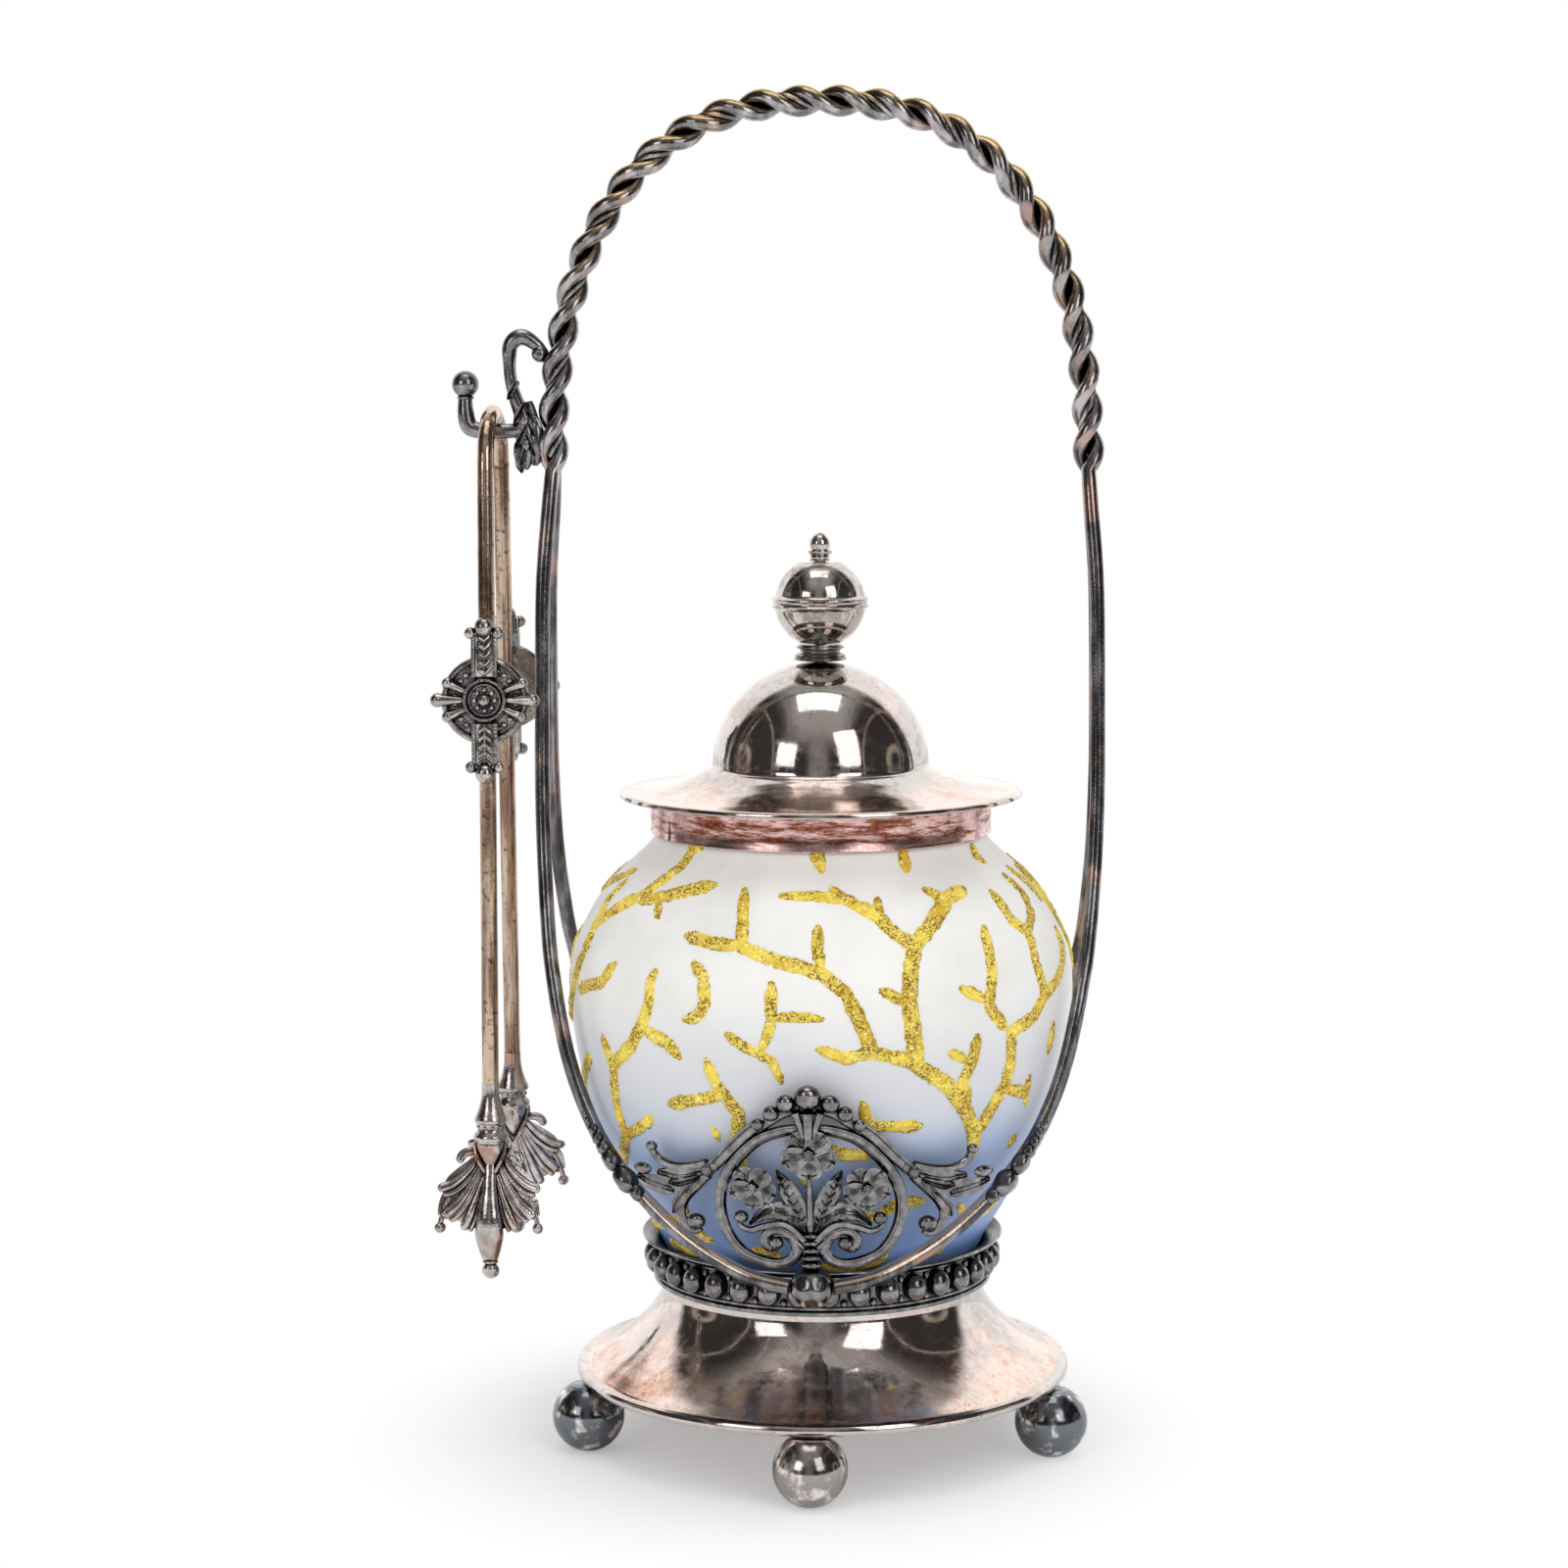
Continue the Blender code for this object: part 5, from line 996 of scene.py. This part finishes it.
# Raised branches on the glass
# Tiny yellow glass beads, fired on in branching lines that stand up a little from the surface. Each
# row is a branch: its half width at both ends, then the turn in degrees and the height of each point.
BRANCH_STEP = 0.9
BRANCH_PROUD = 0.72
BRANCH_SUNK = 0.3
BRANCHES = (
    (1.35, 1.15, 43, 69.7, 42, 74.7, 37, 81.7, 32, 86.8, 24, 91.6, 23, 97.4, 22, 104.7, 23, 111, 25,
     115.7, 33, 120.7, 38, 123.7, 46, 124.9),
    (1, 0.9, 38, 123.7, 33, 125.6),
    (1.15, 0.95, 25, 115.7, 21, 117.9, 18, 120.7, 14, 122.8, 9, 124.8, 6, 126.7),
    (1, 0.7, 9, 124.7, 2, 125.3, -3, 125.3, -8, 125.3),
    (0.95, 1, 17, 120.7, 18, 124.6),
    (0.9, 0.9, 22, 104.7, 19, 106, 16, 107.5),
    (1.2, 0.8, 24, 91.6, 20, 93.5, 14, 94.9, 8, 93.9, 2, 95.8),
    (1.1, 0.95, 14, 94.9, 11, 101.6, 8, 107.4, 3, 110.9, -2, 112.3, -7, 113.2, -16, 115.6, -17, 120.6,
     -19, 126.1),
    (1, 1.05, -16, 115.9, -23, 115.9, -31, 117.1),
    (0.9, 0.95, 3, 112.3, 2, 115, 2, 119.6),
    (1.25, 1, 42, 74.7, 45, 79.1, 49, 84.8, 50, 90, 49, 96.2, 57, 98.1, 62, 102, 60, 108.9, 62, 115.3, 57,
     117.9, 56, 123.7),
    (1, 0.95, 62, 115.3, 68, 118.2, 71, 122.2, 69, 125.7),
    (1.05, 1, 47, 97.3, 42, 102.4, 44, 108.7, 46, 117.6),
    (0.9, 1, 41, 103.9, 35, 106.7),
    (1, 1, 62, 102, 70, 104.5, 79, 110.1, 80, 113.6),
    (1, 1, 50, 83.8, 58, 81.8, 58, 84.9),
    (0.9, 0.9, 58, 81.8, 59, 79.3),
    (0.95, 1.05, 38, 81.6, 36, 87.2, 38, 91.6, 39, 96.3),
    (0.85, 0.95, 36, 91.8, 32, 93.7),
    (1.2, 1, -64, 64.2, -54, 72.2, -54, 78.5, -52, 87.5, -55, 93.6),
    (1.1, 1, -52, 87.9, -44, 93.3, -40, 98.4, -38, 103.1, -38, 107.5, -37, 109.7),
    (1.05, 1.1, -39, 97, -33, 95.4, -30, 92.7),
    (0.9, 0.95, -53, 72.4, -44, 76.2, -41, 78.2),
    (1.2, 1.05, -82, 93.4, -74, 100.9, -68, 109.5, -69, 115.4, -60, 120.1, -53, 122.9, -46, 129, -46,
     132.5, -40, 134.2),
    (1.1, 1.1, -52, 122, -42, 123.9, -36, 125.3, -29, 126.6),
    (0.8, 0.9, -45, 122.6, -42, 119.8),
    (1, 0.9, -69, 115.4, -70, 120.5, -68, 124.4),
    (1, 0.9, -90, 120.4, -69, 126.4),
    (1, 1, -68, 101.9, -55, 105.4, -51, 109.6),
    (1, 1.1, -23, 92.5, -21, 87.4, -18, 83.8, -16, 81.6, -18, 72.8),
    (0.95, 1.05, -20, 85.1, -26, 83.9, -34, 81.9),
    (1, 1, -27, 111.9, -24, 109.3, -23, 104.4, -25, 101.4, -28, 100.7),
    (1, 0.8, -8, 108.7, -8, 104.5, -8, 100.8, -10, 95.6),
    (0.9, 0.7, -18, 98.2, -13, 95.5, -8, 93.4, -6, 88.9),
    (0.85, 0.7, -7, 102.3, -2, 102.4, 3, 102.1),
    (1.2, 1, 1, 134, 3, 129.9),
    (1.2, 1, 32, 133.3, 30, 129.3),
    (0.9, 1, 12, 84.3, 13, 80.4, 15, 79.1, 26, 78.5),
    (0.8, 0.8, -23, 77.5, -22, 75.6),
    (1, 0.9, 66, 132.1, 63, 130.1, 65, 128.9),
    (1, 0.9, 77, 126.7, 80, 123.4, 81, 119.6),
    (0.9, 0.9, 59, 72.2, 57, 70.1),
    (0.9, 0.9, 67, 95.1, 66, 89.1),
    (1.1, 1, -64, 87.8, -80, 78.8, -78, 70.4, -78, 66.5),
    (1.1, 0.95, 90, 62, 90, 72, 89, 80, 84, 88, 83, 95),
    (0.9, 0.85, 90, 104, 90, 112, 86, 119, 87, 126),
    (1, 0.9, -90, 62, -90, 72, -87, 80),
    (1, 0.9, -90, 98, -90, 106, -86, 112),
    (1.1, 0.95, -39, 61, -41, 56.5, -40, 52, -34, 50.2),
    (0.9, 0.85, -41, 54.8, -55, 51.4, -74, 49),
    (0.9, 0.8, -76, 48, -78, 46),
    (0.9, 0.8, -62, 46.5, -52, 46, -45, 45.6),
    (1, 0.9, -18, 76.4, -17.5, 73.3, -16.5, 69.7),
    (0.9, 0.9, -1, 70, -1, 66),
    (1.15, 0.95, 2, 74.6, 7, 73.2, 13, 72.7, 15, 75.3),
    (1.1, 1.15, 12, 58, 18.5, 58.2, 24, 61, 31, 60.7),
    (0.95, 0.85, 24, 61, 24.5, 64.2),
    (1, 1, 45, 46.5, 46.5, 49.6, 51.5, 53.6, 60, 54.4, 68, 56.7),
    (0.9, 0.85, 51.5, 53.6, 45.5, 58),
    (1, 0.9, 3, 46, 13.5, 45.8, 22, 47, 24, 49),
    (0.85, 0.8, -19, 49.8, -13, 49.3, -9, 47))


def jar_radius(height):
    """The glass's outer radius at a height."""
    for (low_wide, low_at), (high_wide, high_at) in zip(jar_outside, jar_outside[1:]):
        if low_at <= height <= high_at:
            return low_wide + (high_wide - low_wide) * (height - low_at) / (high_at - low_at)
    return MOUTH_HALF


def shaken(reach):
    """A small random shift."""
    return Vector([random.uniform(-reach, reach) for _ in range(3)])


def bead_finish():
    """Golden yellow grains, with painted glints on a few and painted shade between them."""
    material, spot = open_finish("yellow_glass_grains")
    grains, shade = [spot.node("ShaderNodeTexVoronoi", values={"Vector": spot, "Scale": 2600.0}, give=give)
                     for give in ("Distance", "Color")]
    shade = spot.node("ShaderNodeSeparateColor", values={"Color": shade})
    patch = ramp(cloud(spot, 120.0, 5.0, 0.6), 0.36, 0.56)
    worn = ramp(cloud(spot, 190.0, 4.0, 0.6), 0.58, 0.50)
    gold = blend(patch, tint(222, 184, 44), tint(248, 222, 84))
    # Painted shade in the crevices between the grains, weaker in patches where the worn mask is low.
    painted_shade_between = ramp(shade * 0.8 + grains * 0.8, 0.80, 1.0) * (worn * 0.75 + 0.25)
    # Painted glints: a few grains made pale and bright.
    with_painted_glints = blend(ramp(shade, 0.12, 0.02), blend(painted_shade_between, gold, tint(150, 112, 24)), tint(255, 244, 170))
    close_finish(spot, {"Base Color": with_painted_glints, "Roughness": 0.42,
                        "Normal": relief(spot, (1.0 - grains) * worn, 0.00026)})
    return material


random.seed(11)
branch_shapes = []
for turned_by, mirrored_by in ((0.0, 1.0), (180.0, -1.0)):
    for start_half, end_half, *stations in BRANCHES:
        run = [(turn * mirrored_by + turned_by, height)
               for turn, height in zip(stations[::2], stations[1::2])]
        points = []
        for first, second in zip(run, run[1:]):
            round_by = math.radians(second[0] - first[0]) * jar_radius(first[1])
            steps = max(2, round(math.hypot(round_by, second[1] - first[1]) / BRANCH_STEP))
            for step in range(steps):
                points.append([start + (end - start) * step / steps for start, end in zip(first, second)])
        points.append(run[-1])
        spots, radii = [], []
        for index, (turn, height) in enumerate(points):
            left = len(points) - 1 - index
            half = start_half + (end_half - start_half) * index / (len(points) - 1)
            radius = jar_radius(height)
            turn = math.radians(turn)
            spots.append(Vector((radius * math.sin(turn), -radius * math.cos(turn), height)) + shaken(0.12))
            rounded = min(1.0, 0.55 + 0.45 * min(index, left) / 1.5)
            radii.append(half * rounded * random.uniform(1.22, 1.58))
        for part in [tube(spots, radii, 3)] + [orb(spots[end], radii[end] * 0.98, 8) for end in (0, -1)]:
            for vert in part.verts:
                outward = Vector((vert.co.x, vert.co.y, 0.0))
                proud = outward.length - jar_radius(vert.co.z)
                outward.normalize()
                pressed = min(proud * 0.42, BRANCH_PROUD) if proud > 0.0 else max(proud, -BRANCH_SUNK)
                vert.co += outward * (pressed - proud) + shaken(0.09)
            branch_shapes.append(part)
piece_of("jar_raised_branches", branch_shapes, bead_finish(), "jar", [], None, 180.0)


# Lid
# A thin spun lid: a wide brim with a rolled edge, hollowed on top, that rises to a round dome, and a
# collar of thin plate soldered under the brim to fit over the neck. The collar is worn to copper.
DOME_LOW = 147.585
DOME_RADIUS = 23.4
DOME_RISE = 22.6
LID_WALL = 1.0
LID_HOLE = 32.6
COLLAR_INSIDE = 35.85
COLLAR_TOP = 140.95
STUD_RADIUS = 1.5


def dome_arc(radius, rise, count, start=0.0):
    """Points up the dome, from its foot to the hole for the finial's stud."""
    whole = math.acos(STUD_RADIUS / radius)
    turns = [whole * (start + (1.0 - start) * step / count) for step in range(count + 1)]
    return [(radius * math.cos(turn), DOME_LOW + rise * math.sin(turn)) for turn in turns]


brim = [(LID_HOLE, 141.3), (43.2, 141.3), (43.48, 141.55), (43.48, 142.0), (43.35, 142.25), (42.6, 142.15),
        (42.3, 142.4)] + eased([(41.8, 142.42), (37.9, 142.80), (32.0, 143.98), (27.0, 145.8),
                                (24.4, 147.2)], 6)
dome = [(23.7, 147.45), (23.42, 147.9)] + dome_arc(DOME_RADIUS, DOME_RISE, 40, 0.03)
under_dome = dome_arc(DOME_RADIUS - LID_WALL, DOME_RISE - LID_WALL, 20)[::-1] + [(LID_HOLE, 142.3)]
piece_of("lid_spun", [spun(brim + dome + under_dome, 128)],
         worn_plate("lid_silver_plate", 0.024, 0.040, 0.60, 0.34, 0.0422), "lid", ["lid_shell"])


def collar_finish():
    """Pink copper with brown rust-like stains in streaks and a few black upright streaks near its left and
    right sides.
    """
    material, spot = open_finish("collar_copper_plate")
    streaks = cloud(spot, 110.0, 6.0, 0.65, (1.0, 1.0, 6.0))
    aside = abs(part_of(spot, "X") - AXIS.x)
    side_streaks = cloud(spot, 225.0, 2.0, 0.5, (1.0, 1.0, 0.10))
    fine = cloud(spot, 900.0, 4.0, 0.7)
    pink = blend(ramp(fine, 0.35, 0.65), tint(208, 164, 160), tint(240, 208, 206))
    worn_low = ramp(part_of(spot, "Z") + (streaks - 0.5) * 0.006 + fine * 0.002, 0.1356, 0.1370)
    stain = ramp(streaks + (fine - 0.5) * 0.3 - ramp(aside, 0.014, 0.030) * 0.06, 0.42, 0.56) * worn_low
    rusty = blend(stain, pink, blend(ramp(fine, 0.42, 0.60), tint(104, 54, 40), tint(156, 92, 64)))
    # Black upright streaks, only near the left and right sides as seen from the front.
    dark = blend(ramp(side_streaks, 0.60, 0.62) * ramp(aside, 0.024, 0.027), rusty, tint(70, 44, 42))
    close_finish(spot, {"Base Color": dark, "Metallic": 1.0,
                        "Roughness": 0.20 + ramp(streaks, 0.5, 0.7) * 0.22,
                        "Normal": relief(spot, fine, 0.00003)})
    return material


collar = [(COLLAR_INSIDE, 133.5), (36.7, 133.5), (36.95, 133.75), (36.85, 134.1), (36.7, 134.4),
          (36.75, 137.0), (36.85, 140.3), (36.95, COLLAR_TOP), (COLLAR_INSIDE, COLLAR_TOP)]
piece_of("lid_collar_soldered", [spun(collar, 128)], collar_finish(), "lid", ["lid_collar"])


# Finial
# A turned neck, a hollow ball of two halves joined at a double band, and an acorn tip, threaded on a
# stud through the top of the dome and held by a nut inside.
NECK_LOW, NECK_TOP = 170.5, 173.9
BALL_LOW, BALL_TOP = 174.25, 191.52
BALL_RADIUS = 9.75
BALL_HEIGHT = 182.885
BALL_HALF_ARC = 62.5
BALL_STEPS = 96
TIP_LOW, TIP_HOLE_TOP = 191.85, 194.85
finial_plate = worn_plate("finial_silver_plate", 0.0085, 0.030, 0.3, 0.60)
turned_plate = ball_finish("turned_dark_plate", tint(134, 128, 124), tint(206, 196, 188), 0.10)
neck = [(STUD_RADIUS, NECK_LOW)]
for rows, steps in (([(5.4, NECK_LOW), (5.7, 170.75), (5.5, 171.1)], 3),
                    ([(5.2, 171.2), (5.45, 171.45), (5.2, 171.75)], 3),
                    ([(4.6, 171.95), (4.3, 172.3), (4.35, 172.65), (4.75, 172.95)], 4),
                    ([(5.0, 173.0), (5.15, 173.3), (4.95, 173.6)], 3)):
    neck += eased(rows, steps)
neck += [(4.6, 173.65), (4.5, NECK_TOP), (STUD_RADIUS, NECK_TOP)]
piece_of("finial_neck_turned", [spun(neck, 64)], turned_plate, "lid", ["finial_neck"])
ball = [(STUD_RADIUS, BALL_LOW)]
for step in range(BALL_STEPS + 1):
    turn = math.radians(BALL_HALF_ARC * (2 * step / BALL_STEPS - 1))
    height = BALL_RADIUS * math.sin(turn)
    band = 0.3 * math.exp(-(height / 0.9) ** 4) + 0.6 * sum(
        math.exp(-((height - ridge) / 0.42) ** 2) for ridge in (-0.85, 0.85))
    ball.append((BALL_RADIUS * math.cos(turn) + band, BALL_HEIGHT + height))
ball.append((STUD_RADIUS, BALL_TOP))
piece_of("finial_ball_spun", [spun(ball, 72)], finial_plate, "lid", ["finial_ball"])
tip = [(0.0, TIP_HOLE_TOP), (STUD_RADIUS, TIP_HOLE_TOP), (STUD_RADIUS, TIP_LOW), (2.3, TIP_LOW), (2.3, 192.1),
       (2.05, 192.3), (2.05, 192.75), (2.2, 192.95), (2.1, 193.15), (2.5, 193.35), (2.65, 193.65),
       (2.6, 193.95), (2.2, 194.15), (2.0, 194.3)] + eased([
           (2.1, 194.6), (2.25, 195.3), (2.1, 196.2), (1.5, 197.15), (0.6, 197.8), (0.0, 197.9)], 4)
piece_of("finial_tip_turned", [spun(tip, 40)], finial_plate, "lid", ["finial_tip"])


# Stud and nut
# The brass stud and its nut hold the finial to the dome from inside, out of sight while the lid is on.
# They keep the shapes of their solids.
material, spot = open_finish("brass_thread")
dull = cloud(spot, 800.0, 4.0)
close_finish(spot, {"Base Color": blend(ramp(dull, 0.4, 0.6), tint(176, 146, 84), tint(214, 186, 118)),
                    "Metallic": 1.0, "Roughness": 0.3 + dull * 0.15})
for name in ("finial_stud", "finial_nut"):
    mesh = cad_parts[name].data
    mesh.materials.clear()
    mesh.materials.append(material)
